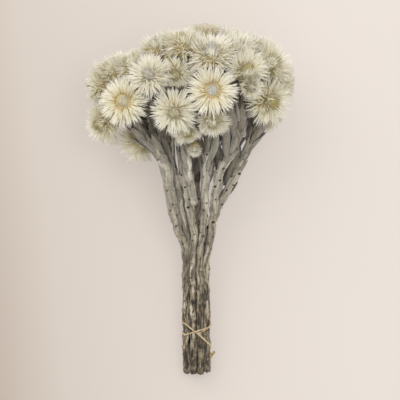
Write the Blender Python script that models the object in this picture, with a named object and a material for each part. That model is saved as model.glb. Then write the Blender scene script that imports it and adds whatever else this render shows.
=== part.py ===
"""A hand bunch of dried everlasting flowers, lying on its side.

Papery many-bracted heads stand on forking, felted, woody stems, and a strand of raffia ties
the stems near their cut ends. +Y runs from the cut ends to the heads, +Z is up and the bunch
rests on z = 0. Lengths are in millimetres and are scaled once, where a mesh is made.
"""

import math
import random

import bmesh
import bpy
import numpy as np
from mathutils import Vector
from mathutils.bvhtree import BVHTree

MM = 0.001
SEED = 41

# Driving sizes of the whole bunch
LENGTH = 300.0
WIDTH = 178.0
HEIGHT = 114.0
GAP = 0.3  # left between pieces that touch

# Bundle of straight stems
BUNDLE_X = 5.6
ROW_HEIGHT = 4.95
CUT_Y = -0.5 * LENGTH
STEM_RADIUS = 2.7
FLAT_SIDES = 6  # a stem of the lowest row has this many sides, one of them down
FLAT_END_Y = -138.0  # the lowest stems lie flat on the surface up to here
RISE_Y = -128.0  # and rise evenly from here on
RISE = 0.17
BUNDLE_TOP_Y = -50.0
BUNDLE_STATIONS = (FLAT_END_Y, RISE_Y, -102.0, -76.0, BUNDLE_TOP_Y)
BUNDLE_SWAY = (0.5, 40.0)  # how far the stems wave from side to side, and over what length
RADIUS_WANDER = 0.07
HEEL = (1.2, 0.55)  # the torn end of a sprig: its length, and the part of the radius left

# Forks
SIDES = (7, 5)  # of a stem and its twigs in view
HIDDEN_SIDES = (FLAT_SIDES, 4)
NODE_STEP = 3.5
FORK_STEP = 2  # nodes between one fork and the next
TWIG_RADIUS = (1.9, 1.45)
TWIG_HOLD = 0.06
NECK_STRETCH = 5.0  # the last straight stretch of a twig, below its head
REACH_OF_NECK = 11.0  # a twig's own head doesn't push it this near to the neck
CLEARANCE = 1.1
KIN = 5.0  # nodes of one stem this much nearer than they need are left alone
PUSH, CORE_PUSH, STIFFNESS, LONGEST_MOVE = 0.3, 0.5, 0.22, 1.2
RELAX_STEPS = 180
SWELL = 0.25  # the stems are this much thicker where bracts and leaves look for room
LEAF_SWELL = 0.35

# Heads, as parts of a head's radius unless they say otherwise
COLUMNS = 18
HIDDEN_COLUMNS = 15
BUD_COLUMNS = 9
BUD_RADIUS = 10.0  # millimetres: a head smaller than this is a bud with few bracts
DISC = (0.23, 0.03)
DISC_TOP = 0.07
SHOULDER = (0.36, -0.08)
WAIST = (0.37, -0.30)
NECK_RADIUS = 2.2  # millimetres
NECK_DEPTH = (0.45, 5.0)  # part of the radius, and millimetres
BRACT_CENTRE = -0.10
BRACT_LEVELS = ((45.0, 0.74, 0.5), (29.0, 0.90, 1.0), (12.0, 1.00, 1.0), (-8.0, 1.02, 0.5))
STEEPEST = 80.0  # degrees
TURN_WANDER = 0.14  # columns
RISE_WANDER = 3.0  # degrees
LENGTH_WANDER = (0.93, 1.03)
KEPT_LENGTH = 0.82  # what a bract keeps of its length before it is lifted
SHORTEST_BRACT = 0.46
SITE_DEPTH = 0.25
HIDDEN_RISE = -30.0  # degrees: a head that faces lower than this has fewer bracts
MEETING = 60.0  # millimetres: heads further apart than this never meet

ROOM_STEPS = 80
PRESS_STEPS = 14
PRESS = 0.84  # a bract that meets a stem keeps this much of its length, step by step
NUDGES = 12
NUDGE = np.array((0.013, 0.007, 0.011))

# Leaves
LEAF_SIZES = ((20.0, 5.2), (16.0, 4.8), (12.0, 4.2))
LEAF_DROOP = 0.10
LEAF_TURNS = 9
LEAF_TURN = 2.4  # radians from one try to the next
LEAF_SPOTS = (0.25, 0.6, 0.95)  # of the way from one ring of a twig to the next
LEAF_MARGIN = 2.0  # leaves stay this far inside the bunch's own box
LOWEST_LEAF_Y = 12.0
FINE_LEAF = ((0.0, 0.35, 0.9), (0.36, 1.0, 1.0), (0.70, 0.72, 0.8))
PLAIN_LEAF = ((0.0, 0.45, 0.9), (0.42, 1.0, 1.0))
LEAF_THICKNESS = 1.1

PAPER_COLOUR = (0.62, 0.59, 0.46)
FELT_COLOUR = (0.27, 0.25, 0.21)
RAFFIA_COLOUR = (0.62, 0.47, 0.28)

# Tie
STRAND_RADIUS = 0.62
STRAND_SIDES = 4
LOOP_POINTS = 22
LOOPS = ((-0.92, -0.018), (0.45, 0.034))  # each turn's slope and bend across the bundle
KNOT = (8.0, -114.5)


class Stem:
    """One leafy stem: its place in the bundle and the route that it takes to its forks."""

    def __init__(self, name, across, row, cut, route, thick=STEM_RADIUS, spread=STEM_RADIUS,
                 hold=0.02):
        self.name, self.across, self.row, self.cut = name, across, row, cut
        self.route, self.thick, self.spread, self.hold = route, thick, spread, hold
        in_view = row != 0 and bool(route)
        self.sides, self.twig_sides = SIDES if in_view else HIDDEN_SIDES
        self.ring_step = 3 if in_view else 4  # nodes between the rings of its skin
        self.leaf, self.leaves = (FINE_LEAF, 7) if in_view else (PLAIN_LEAF, 3)


# The front row from left to right, the middle row, the row that lies on the surface, and a
# short sprig whose torn heel lies on the front row. A route holds (x, y, z) past the bundle.
STEMS = (
    Stem("stem_front_1", -8.9, 2, 0.8, ((-4.3, -36, 30), (-10.3, -26, 33), (-13.8, -13, 37.5),
         (-15.5, 0, 42), (-18, 17, 48.5), (-20.6, 30, 54), (-27, 40, 58), (-36, 49, 62)),
         2.75, 4.6, 0.1),
    Stem("stem_front_2", -3.1, 2, 2.6, ((3.4, -30, 31.5), (1.7, -17, 35.5), (-0.9, -4.3, 40),
         (-3.4, 8.6, 45), (-5.2, 25.8, 51), (-8, 58, 64)), 2.7, 3.8, 0.1),
    Stem("stem_front_3", 3.3, 2, 0.0, ((11.2, -34.4, 31), (12, -21.5, 34.5), (12.9, -8.6, 38.5),
         (12.9, 4.3, 43), (13.8, 17.2, 48), (14.6, 30, 53.5), (16.3, 43, 59.5), (17, 62, 67)),
         2.65, 3.4, 0.1),
    Stem("stem_front_4", 9.0, 2, 1.7, ((15.5, -38.7, 30), (18, -25.8, 33), (19.8, -12.9, 36.5),
         (20.6, 0, 41), (24, 17.2, 47), (27.5, 30, 52), (34.4, 37.8, 56), (42, 57.6, 64),
         (43, 66, 67)), 2.7, 3.5, 0.1),
    Stem("stem_middle_1", -6.0, 1, 3.1, ((-2.6, -30, 26.5), (-5.2, -19, 31), (-6.9, -4.3, 36),
         (-11.2, 17, 43), (-15.5, 30, 48), (-24, 62, 58)), 2.7, 3.5, 0.08),
    Stem("stem_middle_2", 0.1, 1, 1.2, ()),
    Stem("stem_middle_3", 6.1, 1, 2.2, ((13.8, -34.4, 25.5), (18, -21.5, 28), (22.4, -10.3, 31.5),
         (27.5, 0.9, 36), (32.7, 8.6, 39), (37.8, 18.9, 43), (43, 30, 47), (49, 43, 51.5),
         (60, 60, 57)), 2.7, 3.2, 0.1),
    Stem("stem_low_1", -8.9, 0, 1.5, ((-5.5, -32, 19), (-9, -5, 22), (-14, 22, 26), (-26, 46, 32),
         (-38, 58, 36))),
    Stem("stem_low_2", -3.0, 0, 0.0, ()),
    Stem("stem_low_3", 3.0, 0, 0.9, ()),
    Stem("stem_low_4", 8.9, 0, 2.0, ()),
    Stem("stem_sprig", None, None, None, ((3.8, -4.5, 47.5), (2.4, 4.5, 51.5), (0, 17, 56),
         (-3.4, 34.4, 62), (-5, 48, 68)), 2.9, 3.4, 0.1),
)

# Each head: its stem, its disc's (x, y, z), its radius, its axis as a turn from +X and a rise
# in degrees, and how far its bracts are shut. A stem's first head ends the stem itself.
HEADS = (
    ("stem_front_1", (-56, 83, 92), 22.0, 150, 75, 0.0),
    ("stem_front_1", (-74, 65, 64), 20.0, 205, 35, 0.0),
    ("stem_front_1", (-46, 47, 45), 20.0, 215, -30, 0.0),
    ("stem_front_2", (-13, 74, 98), 21.0, 265, 72, 0.0),
    ("stem_front_2", (-12, 106, 93), 17.0, 270, 66, 0.15),
    ("stem_front_2", (-6, 132, 82), 21.0, 95, 20, 0.0),
    ("stem_front_2", (-28, 129, 70), 19.0, 100, 20, 0.0),
    ("stem_front_3", (19, 92, 104), 22.5, 90, 86, 0.0),
    ("stem_front_3", (19, 66, 87), 17.0, 270, 45, 0.1),
    ("stem_front_3", (18, 123, 92), 23.0, 90, 45, 0.0),
    ("stem_front_4", (48, 109, 92), 20.0, 60, 70, 0.0),
    ("stem_front_4", (51, 95, 95), 13.0, 0, 75, 0.45),
    ("stem_front_4", (41, 127, 78), 20.0, 75, 35, 0.0),
    ("stem_middle_1", (-34, 105, 95), 20.0, 120, 68, 0.0),
    ("stem_middle_1", (-50, 114, 76), 18.0, 120, 35, 0.0),
    ("stem_middle_1", (-66, 110, 64), 19.0, 135, 20, 0.0),
    ("stem_middle_2", (13, 143, 60), 18.0, 92, 5, 0.0),
    ("stem_middle_2", (33, 134, 58), 18.0, 85, 0, 0.0),
    ("stem_middle_2", (58, 128, 59), 19.0, 55, 10, 0.0),
    ("stem_middle_3", (67, 83, 78), 22.0, -15, 50, 0.0),
    ("stem_middle_3", (69, 115, 72), 21.0, 35, 40, 0.0),
    ("stem_middle_3", (80, 101, 55), 20.0, 10, 0, 0.0),
    ("stem_middle_3", (70, 72, 42), 18.0, -30, -8, 0.0),
    ("stem_low_1", (-78, 97, 58), 19.0, 175, 5, 0.0),
    ("stem_low_1", (-71, 60, 37), 17.0, 215, -10, 0.0),
    ("stem_low_1", (-69, 86, 20), 19.0, 180, -40, 0.0),
    ("stem_low_2", (-52, 103, 14.5), 20.0, 130, -60, 0.0),
    ("stem_low_2", (-21, 120, 16), 19.0, 100, -40, 0.0),
    ("stem_low_2", (-34, 82, 10.5), 20.0, 240, -80, 0.0),
    ("stem_low_3", (0, 95, 10.5), 21.0, 90, -85, 0.0),
    ("stem_low_3", (9, 125, 18), 20.0, 90, -45, 0.0),
    ("stem_low_3", (-9, 64, 18), 18.0, 180, -75, 0.0),
    ("stem_low_4", (30, 90, 10.5), 20.0, 60, -80, 0.0),
    ("stem_low_4", (39, 120, 16), 19.0, 80, -40, 0.0),
    ("stem_low_4", (64, 103, 20), 19.0, 30, -40, 0.0),
    ("stem_low_4", (56, 73, 20), 19.0, -30, -42, 0.0),
    ("stem_sprig", (-2, 57, 83), 14.0, 285, 65, 0.1),
    ("stem_sprig", (4, 43, 80), 8.0, 270, 50, 0.5),
)


def vec(*values):
    return np.array(values, dtype=float)


def unit(v):
    return v / np.linalg.norm(v)


def pointing(turn, rise):
    """The unit vector at a turn from +X and a rise from level, in degrees."""
    t, r = math.radians(turn), math.radians(rise)
    return vec(math.cos(r) * math.cos(t), math.cos(r) * math.sin(t), math.sin(r))


def across_pair(axis):
    """Two unit vectors square to an axis and to each other."""
    side = unit(np.cross(axis, vec(0.31, 0.22, 0.92) if abs(axis[2]) < 0.9 else vec(1, 0.2, 0)))
    return side, np.cross(axis, side)


class Head:
    """One flower head: where it stands, which way it faces and the room that it has."""

    def __init__(self, number, stem, disc, radius, turn, rise, shut):
        self.name = f"bloom_{number:02d}"
        self.stem, self.radius, self.shut = stem, radius, shut
        self.disc = vec(*disc)
        self.axis = pointing(turn, rise)
        self.columns = COLUMNS if rise > HIDDEN_RISE else HIDDEN_COLUMNS
        if radius < BUD_RADIUS:
            self.columns = BUD_COLUMNS
        self.side, self.up = across_pair(self.axis)

    def depth(self):
        return NECK_DEPTH[0] * self.radius + NECK_DEPTH[1]

    def base(self):
        return self.disc - self.axis * self.depth()

    def site(self):
        return self.disc - self.axis * SITE_DEPTH * self.radius

    def around(self, angle, out, along):
        """The point at an angle about the axis, this far out and along it."""
        ring = self.side * math.cos(angle) + self.up * math.sin(angle)
        return self.disc + ring * out + self.axis * along

    def rings(self):
        """The core's rings of points, from the disc's rim down to the neck."""
        turn = 2 * math.pi / self.columns
        found = []
        for row, (out, along) in enumerate((DISC, SHOULDER, WAIST)):
            shift = 0.5 * (row % 2)
            found.append([self.around((k + shift) * turn, out * self.radius, along * self.radius)
                          for k in range(self.columns)])
        found.append([self.around((3 * k + 1) * turn, NECK_RADIUS, -self.depth())
                      for k in range(self.columns // 3)])
        return found


def make_room(heads):
    """Moves heads apart until no core crosses the plane that parts it from its neighbour."""
    for _ in range(ROOM_STEPS):
        cores = [np.array(sum(head.rings(), [])) for head in heads]
        moved = 0.0
        for i, one in enumerate(heads):
            for j in range(i + 1, len(heads)):
                other = heads[j]
                apart = other.site() - one.site()
                wide = np.linalg.norm(apart)
                if wide > MEETING:
                    continue
                normal = apart / wide
                reach = ((cores[i] - one.site()) @ normal).max()
                reach += ((cores[j] - other.site()) @ -normal).max()
                lack = reach + 3 * GAP - wide
                if lack > 0:
                    one.disc = one.disc - normal * lack * 0.5
                    other.disc = other.disc + normal * lack * 0.5
                    moved = max(moved, lack)
        if moved < 0.05:
            break


def limits(head, heads):
    """The flat walls of the room that a head has: rows of (normal, offset)."""
    walls = [(vec(1, 0, 0), 0.5 * WIDTH), (vec(-1, 0, 0), 0.5 * WIDTH),
             (vec(0, 1, 0), 0.5 * LENGTH), (vec(0, 0, 1), HEIGHT), (vec(0, 0, -1), 0.0)]
    own = np.array(sum(head.rings(), []))
    for other in heads:
        apart = other.site() - head.site()
        wide = np.linalg.norm(apart)
        if other is head or wide > MEETING:
            continue
        normal = apart / wide
        theirs = np.array(sum(other.rings(), []))
        least = ((own - head.site()) @ normal).max() + GAP
        most = wide - ((theirs - other.site()) @ -normal).max() - GAP
        share = (wide**2 + head.radius**2 - other.radius**2) / (2 * wide)
        share = min(max(share, least), most)
        walls.append((normal, head.site() @ normal + share - 0.5 * GAP))
    return np.array([w[0] for w in walls]), np.array([w[1] for w in walls])


def free_length(start, direction, walls):
    """How far a ray runs before it meets a wall."""
    normals, offsets = walls
    closing = normals @ direction
    room = offsets - normals @ start
    ahead = closing > 1e-6
    return (room[ahead] / closing[ahead]).min()


def leaning(head, angle, rise):
    """The unit vector at an angle about a head's axis and a rise from square to it."""
    flat = head.side * math.cos(angle) + head.up * math.sin(angle)
    turn = math.radians(rise)
    return flat * math.cos(turn) + head.axis * math.sin(turn)


def bract_tips(head, walls, rng):
    """A tip for each cell of the core, level by level, kept inside the head's walls."""
    centre = head.disc + head.axis * BRACT_CENTRE * head.radius
    bottom = opened(BRACT_LEVELS[-1][0], head)
    tips = []
    for rise, length, shift in BRACT_LEVELS:
        row = []
        for k in range(head.columns):
            column = k + shift + rng.uniform(-TURN_WANDER, TURN_WANDER)
            angle = column * 2 * math.pi / head.columns
            reach = head.radius * length * rng.uniform(*LENGTH_WANDER)
            lowest = lowest_rise(head, centre, angle, walls)
            share = (STEEPEST - lowest) / (STEEPEST - bottom)
            lifted = lowest + (opened(rise, head) - bottom) * share
            direction = leaning(head, angle, lifted + rng.uniform(-RISE_WANDER, RISE_WANDER))
            row.append((centre, direction, min(reach, free_length(centre, direction, walls))))
        tips.append(row)
    return tips


def opened(rise, head):
    """A level's rise on a head that may be partly shut."""
    return rise + head.shut * (STEEPEST - rise)


def lowest_rise(head, centre, angle, walls):
    """How flat the outermost bract can lie on this side and keep most of its length."""
    rise = opened(BRACT_LEVELS[-1][0], head)
    best, longest = rise, 0.0
    while rise < 60:
        room = free_length(centre, leaning(head, angle, rise), walls)
        if room >= KEPT_LENGTH * head.radius:
            return rise
        if room > longest:
            best, longest = rise, room
        rise += 4
    return best


def head_faces(n):
    """The core's bract-bearing triangles as (ring, column) corners, level by level."""
    inner, second, third, outer = [], [], [], []
    for k in range(n):
        nxt = (k + 1) % n
        inner.append(((0, k), (1, k), (0, nxt)))
        second.append(((0, nxt), (1, k), (1, nxt)))
        third.append(((1, k), (2, nxt), (1, nxt)))
        outer.append(((1, k), (2, k), (2, nxt)))
    return inner, second, third, outer


def head_mesh(head, tips):
    """Points and faces of a head, and for each face the bract that it belongs to."""
    rings = head.rings()
    n = head.columns
    points = [p for ring in rings for p in ring]
    start = [0, n, 2 * n, 3 * n]
    faces, owners = [], []

    def at(corner):
        return start[corner[0]] + corner[1]

    points.append(head.disc + head.axis * DISC_TOP * head.radius)
    top = len(points) - 1
    for k in range(n):
        faces.append((top, at((0, k)), at((0, (k + 1) % n))))
        owners.append(None)
    for level, cells in enumerate(head_faces(n)):
        for k, cell in enumerate(cells):
            centre, direction, length = tips[level][k]
            points.append(centre + direction * length)
            tip = len(points) - 1
            corners = [at(c) for c in cell]
            for a, b in zip(corners, corners[1:] + corners[:1]):
                faces.append((a, b, tip))
                owners.append((level, k))
    for k in range(n // 3):
        above = [at((2, (3 * k + m) % n)) for m in range(4)]
        low, low_next = at((3, k)), at((3, (k + 1) % (n // 3)))
        faces += [(above[0], low, above[1]), (above[1], low, above[2])]
        faces += [(above[2], low, low_next), (above[2], low_next, above[3])]
        owners += [None] * 4
    faces.append(tuple(at((3, k)) for k in reversed(range(n // 3))))
    owners.append(None)
    return points, faces, owners


class Net:
    """The centre lines of every stem as one net of nodes, so that all can be moved at once."""

    def __init__(self):
        self.place, self.thick, self.stem = [], [], []
        self.hold, self.pinned, self.head = [], [], []
        self.chains = []

    def add(self, place, thick, stem, hold=0.0, pinned=False, head=-1):
        self.place.append(np.array(place, dtype=float))
        self.thick.append(thick)
        self.stem.append(stem)
        self.hold.append(hold)
        self.pinned.append(pinned)
        self.head.append(head)
        return len(self.place) - 1


def lift(y):
    """How far the bundle has risen from the surface."""
    if y < FLAT_END_Y:
        return 0.0
    if y < RISE_Y:
        return RISE * (y - FLAT_END_Y) ** 2 / (2 * (RISE_Y - FLAT_END_Y))
    return RISE * (y - 0.5 * (FLAT_END_Y + RISE_Y))


def slot(stem, y):
    """The centre of a stem in the bundle. A stem of the lowest row has a flat side down."""
    rest = STEM_RADIUS * math.cos(math.pi / FLAT_SIDES)
    sway, length = BUNDLE_SWAY
    x = BUNDLE_X + stem.across + sway * math.sin(y / length)
    return vec(x, y, rest + stem.row * ROW_HEIGHT + lift(y))


def smooth_route(points, step):
    """Points at even steps along a smooth curve through the given ones."""
    padded = [2 * points[0] - points[1]] + list(points) + [2 * points[-1] - points[-2]]
    fine = []
    for a, b, c, d in zip(padded, padded[1:], padded[2:], padded[3:]):
        for t in np.linspace(0, 1, 12, endpoint=False):
            fine.append(0.5 * (2 * b + (c - a) * t + (2 * a - 5 * b + 4 * c - d) * t**2
                               + (3 * b - a - 3 * c + d) * t**3))
    fine.append(points[-1])
    return even_steps(np.array(fine), step)


def even_steps(fine, step):
    lengths = np.linalg.norm(np.diff(fine, axis=0), axis=1)
    along = np.concatenate([[0], np.cumsum(lengths)])
    count = max(2, int(round(along[-1] / step)) + 1)
    marks = np.linspace(0, along[-1], count)
    return np.array([[np.interp(m, along, fine[:, k]) for k in range(3)] for m in marks])


def bent_route(start, leaving, end, arriving, step):
    """Points at even steps along one bend between two places and directions."""
    wide = np.linalg.norm(end - start)
    near = start + leaving * 0.4 * wide
    far = end - arriving * min(max(0.3 * wide, 6), 14)
    t = np.linspace(0, 1, 40)[:, None]
    s = 1 - t
    fine = s**3 * start + 3 * s**2 * t * near + 3 * s * t**2 * far + t**3 * end
    return even_steps(fine, step)


def grow_net(heads):
    """Lays out every stem from its cut end to its heads."""
    net = Net()
    for number, stem in enumerate(STEMS):
        own = [(k, head) for k, head in enumerate(heads) if head.stem == stem.name]
        trunk = []
        if stem.row is None:
            route = smooth_route([vec(*p) for p in stem.route], NODE_STEP)
        else:
            ends = [CUT_Y + stem.cut] + list(BUNDLE_STATIONS)
            for y in ends:
                trunk.append(net.add(slot(stem, y), stem.thick, number, pinned=True))
            leave = slot(stem, BUNDLE_TOP_Y)
            before = slot(stem, BUNDLE_TOP_Y - 6)
            if stem.route:
                route = smooth_route([before, leave] + [vec(*p) for p in stem.route], NODE_STEP)
                route = route[route[:, 1] > BUNDLE_TOP_Y + 1.5]
            else:
                middle = sum(head.base() for _, head in own) / len(own)
                crown = leave + 0.5 * (middle - leave)
                heading = unit(leave - before)
                route = bent_route(leave, heading, crown, unit(middle - leave), NODE_STEP)[1:]
        count = len(route)
        for k, place in enumerate(route):
            share = min(1.0, (k + 1) / (0.5 * count))
            thick = stem.thick + (stem.spread - stem.thick) * share
            trunk.append(net.add(place, thick, number, stem.hold))
        crown_at = len(trunk) - 1
        for order, (k, head) in enumerate(own):
            fork_at = crown_at - order * FORK_STEP
            fork = trunk[fork_at]
            heading = unit(net.place[fork] - net.place[trunk[fork_at - 2]])
            end = head.base() - head.axis * GAP
            turned = end - head.axis * NECK_STRETCH
            way = list(bent_route(net.place[fork], heading, turned, head.axis, NODE_STEP)[1:])
            way.append(end)
            twig = []
            first = net.thick[fork] * 0.8 if order == 0 else TWIG_RADIUS[0]
            for m, place in enumerate(way):
                share = (m + 1) / len(way)
                thick = first + (TWIG_RADIUS[1] - first) * min(1.0, 1.3 * share)
                last = m >= len(way) - 2
                twig.append(net.add(place, thick, number, TWIG_HOLD, pinned=last, head=k))
            if order == 0:
                net.chains.append((number, trunk + twig, k))
            else:
                net.chains.append((number, [fork] + twig, k))
    return net


def relax(net, heads):
    """Moves the nodes until stems clear each other, the heads' cores and the surface."""
    place = np.array(net.place)
    begin = place.copy()
    thick = np.array(net.thick)
    stem = np.array(net.stem)
    pinned = np.array(net.pinned)
    hold = np.array(net.hold)[:, None]
    own_head = np.array(net.head)
    need = thick[:, None] + thick[None] + CLEARANCE
    far = np.linalg.norm(place[:, None] - place[None], axis=2)
    kin = (stem[:, None] == stem[None]) & (far < need + KIN)
    need = np.where(kin, 0.0, need)
    inner = np.array([run for _, chain, _ in net.chains for run in zip(chain, chain[1:], chain[2:])])
    tops = np.array([head.disc for head in heads])
    bases = np.array([head.base() for head in heads])
    lines = bases - tops
    wide = np.array([WAIST[0] * head.radius for head in heads])
    for _ in range(RELAX_STEPS):
        between = place[:, None] - place[None]
        dist = np.linalg.norm(between, axis=2) + 1e-9
        push = np.clip(need - dist, 0, None) * PUSH
        move = (between / dist[..., None] * push[..., None]).sum(1)
        bend = 0.5 * (place[inner[:, 0]] + place[inner[:, 2]]) - place[inner[:, 1]]
        np.add.at(move, inner[:, 1], STIFFNESS * bend)
        move += hold * (begin - place)
        offset = place[:, None] - tops[None]
        along = np.clip((offset * lines[None]).sum(2) / (lines**2).sum(1)[None], 0, 1)
        away = offset - along[..., None] * lines[None]
        gone = np.linalg.norm(away, axis=2) + 1e-9
        core = wide[None] * (1 - along) + NECK_RADIUS * along
        lack = np.clip(core + thick[:, None] + CLEARANCE - gone, 0, None)
        mine = own_head[:, None] == np.arange(len(heads))[None]
        near_end = np.linalg.norm(place[:, None] - bases[None], axis=2) < REACH_OF_NECK
        lack[mine & near_end] = 0.0
        move += (away / gone[..., None] * (CORE_PUSH * lack)[..., None]).sum(1)
        move[:, 2] += CORE_PUSH * np.clip(thick + GAP - place[:, 2], 0, None)
        size = np.linalg.norm(move, axis=1)[:, None] + 1e-9
        move *= np.minimum(size, LONGEST_MOVE) / size
        move[pinned] = 0.0
        place += move
    net.place = list(place)


def stations(chain, net, step, joined):
    """The nodes of a chain that get a ring: all in the bundle, every few from there to the
    head's neck, and both ends."""
    neck = len(chain) - 2
    picked = []
    for k, node in enumerate(chain):
        bundle = net.pinned[node] and net.head[node] < 0
        if bundle or k == 0 or k > neck or (neck - k) % step == 0:
            picked.append(node)
    places = [net.place[node] for node in picked]
    radii = [net.thick[node] for node in picked]
    steady = [net.pinned[node] for node in picked]
    if joined:
        radii[0] = min(radii[0], radii[1] * 1.05)
    return places, radii, steady


def tube(places, radii, sides, opening, closing, rng, steady):
    """A closed tube round a line, its end rings square to the directions given for them."""
    places = [np.array(p) for p in places]
    normal = vec(0, 0, 1)
    points, faces = [], []
    count = len(places)
    for k, place in enumerate(places):
        if k == 0 and opening is not None:
            along = opening
        elif k == count - 1:
            along = closing
        else:
            ahead = places[min(k + 1, count - 1)] - place
            behind = place - places[max(k - 1, 0)]
            along = unit(unit(ahead) + unit(behind)) if 0 < k < count - 1 else unit(ahead + behind)
        normal = unit(normal - along * (normal @ along))
        side = np.cross(along, normal)
        for s in range(sides):
            angle = 2 * math.pi * (s + 0.5 * (sides % 2 == 0)) / sides
            radius = radii[k] * (1 - (0.0 if steady[k] else rng.uniform(0, RADIUS_WANDER)))
            points.append(place + radius * (math.cos(angle) * normal + math.sin(angle) * side))
    for k in range(count - 1):
        for s in range(sides):
            a, b = k * sides + s, k * sides + (s + 1) % sides
            faces.append((a, b, b + sides, a + sides))
    faces.append(tuple(reversed(range(sides))))
    faces.append(tuple((count - 1) * sides + s for s in range(sides)))
    return points, faces


def leaf_mesh(root, direction, normal, length, width, stations, swell=0.0):
    """A thin lance-shaped blade with a flat underside and a raised midrib."""
    side = np.cross(direction, normal)
    points, faces = [], []
    for t, wide, thick in stations:
        centre = root + direction * length * t - normal * LEAF_DROOP * length * t * t
        half = 0.5 * wide * width + 1.5 * swell
        rise = 0.5 * thick * LEAF_THICKNESS + swell
        points += [centre + side * half - normal * rise, centre + normal * rise,
                   centre - side * half - normal * rise]
    points.append(root + direction * (length + 2 * swell) - normal * LEAF_DROOP * length)
    for ring in range(len(stations) - 1):
        for s in range(3):
            a, b = ring * 3 + s, ring * 3 + (s + 1) % 3
            faces += [(a, b, b + 3), (a, b + 3, a + 3)]
    last, tip = 3 * (len(stations) - 1), len(points) - 1
    faces += [(last + s, last + (s + 1) % 3, tip) for s in range(3)]
    faces.append((2, 1, 0))
    return points, faces


def surface_tree(shapes):
    """One search tree over the faces of several shapes."""
    points, faces = [], []
    for some_points, some_faces in shapes:
        base = len(points)
        points += [Vector(p) for p in some_points]
        faces += [tuple(base + c for c in face) for face in some_faces]
    return BVHTree.FromPolygons(points, faces, all_triangles=False)


def stem_shapes(net, heads, swell):
    """The tubes of each stem, by the stem's number."""
    shapes = {number: [] for number in range(len(STEMS))}
    for number, chain, k in net.chains:
        stem = STEMS[number]
        trunk = len(shapes[number]) == 0
        rng = random.Random(f"{SEED} {number} {k}")
        places, radii, steady = stations(chain, net, stem.ring_step, not trunk)
        if trunk and stem.row is None:
            places.insert(0, places[0] - unit(places[1] - places[0]) * HEEL[0])
            radii.insert(0, HEEL[1] * radii[0])
            steady.insert(0, True)
        radii = [r + swell for r in radii]
        sides = stem.sides if trunk else stem.twig_sides
        opening = vec(0, 1, 0) if trunk and stem.row is not None else None
        shapes[number].append(tube(places, radii, sides, opening, heads[k].axis, rng, steady))
    return shapes


def place_leaves(net, heads, tubes):
    """Leaves along the forks of each stem, each turned until it clears everything else."""
    cores = [head_mesh(head, short_tips(head))[:2] for head in heads]
    leaves = {number: [] for number in range(len(STEMS))}
    taken = []
    for number in range(len(STEMS)):
        others = [s for other, some in tubes.items() if other != number for s in some]
        others += cores
        rng = random.Random(f"{SEED} leaves {number}")
        spots = leaf_spots(net, number)
        rng.shuffle(spots)
        tree = surface_tree(others + taken)
        for spot, along, thick in spots:
            if len(leaves[number]) == STEMS[number].leaves:
                break
            shape = try_leaf(spot, along, thick, STEMS[number].leaf, tree, rng)
            if shape:
                leaves[number].append(shape[0])
                taken.append(shape[1])
                tree = surface_tree(others + taken)
    return leaves


def leaf_spots(net, number):
    """Places inside a stem's forks that may carry a leaf, with the stem's way and radius."""
    spots = []
    for owner, chain, _ in net.chains:
        if owner != number:
            continue
        places, radii, _ = stations(chain, net, STEMS[number].ring_step, False)
        for k in range(len(places) - 2):
            for share in LEAF_SPOTS:
                place = places[k] + share * (places[k + 1] - places[k])
                thick = radii[k] + share * (radii[k + 1] - radii[k])
                if place[1] > LOWEST_LEAF_Y:
                    spots.append((place, unit(places[k + 1] - places[k]), thick))
    return spots


def try_leaf(spot, along, thick, stations, tree, rng):
    """A leaf at this spot that meets nothing in the tree, and its swollen copy, or None."""
    first = rng.uniform(0, 2 * math.pi)
    side, up = across_pair(along)
    for length, width in LEAF_SIZES:
        for turn in range(LEAF_TURNS):
            angle = first + turn * LEAF_TURN
            out = side * math.cos(angle) + up * math.sin(angle)
            direction = unit(along * rng.uniform(0.6, 0.95) + out)
            normal = unit(along - direction * (along @ direction))
            root = spot + out * 0.5 * thick
            big = leaf_mesh(root, direction, normal, length, width, stations, LEAF_SWELL)
            lowest = min(p[2] for p in big[0])
            if lowest < GAP or outside_box(big[0]) or tree.overlap(surface_tree([big])):
                continue
            return leaf_mesh(root, direction, normal, length, width, stations), big
    return None


def outside_box(points):
    """Whether a shape reaches past the bunch's own box."""
    cloud = np.array(points)
    wide = np.abs(cloud[:, 0]) > 0.5 * WIDTH - LEAF_MARGIN
    high = cloud[:, 2] > HEIGHT - LEAF_MARGIN
    return bool(wide.any() or high.any())


def short_tips(head):
    """Bracts no longer than stubs, for a head that only shows where its core is."""
    centre = head.disc + head.axis * BRACT_CENTRE * head.radius
    stub = SHORTEST_BRACT * head.radius
    turn = 2 * math.pi / head.columns
    return [[(centre, leaning(head, (k + shift) * turn, rise), stub) for k in range(head.columns)]
            for rise, _, shift in BRACT_LEVELS]


def press_back(head, tips, obstacles):
    """Shortens the bracts that meet a stem or a leaf until none does."""
    shortest = SHORTEST_BRACT * head.radius
    for _ in range(PRESS_STEPS):
        points, faces, owners = head_mesh(head, tips)
        tree = BVHTree.FromPolygons([Vector(p) for p in points], faces, all_triangles=False)
        met = {owners[pair[0]] for pair in tree.overlap(obstacles)} - {None}
        if not met:
            break
        for level, k in met:
            centre, direction, length = tips[level][k]
            tips[level][k] = (centre, direction, max(shortest, PRESS * length))


def loop_points(y_middle, slope, bend):
    """Centre line of one turn of the tie, drawn tight round the bundle."""
    points = []
    for k in range(LOOP_POINTS):
        angle = 2 * math.pi * (k + 0.5) / LOOP_POINTS
        normal = vec(math.cos(angle), 0, math.sin(angle))
        best, spot = -1e9, None
        for stem in STEMS:
            if stem.row is None:
                continue
            centre = slot(stem, y_middle)
            reach = stem.thick + GAP + STRAND_RADIUS
            if centre @ normal + reach > best:
                best = centre @ normal + reach
                spot = centre + normal * reach
        across = spot[0] - KNOT[0]
        y = y_middle + slope * across + bend * across**2
        spot = spot + vec(0, y - y_middle, lift(y) - lift(y_middle))
        points.append(spot)
    return points


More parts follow.
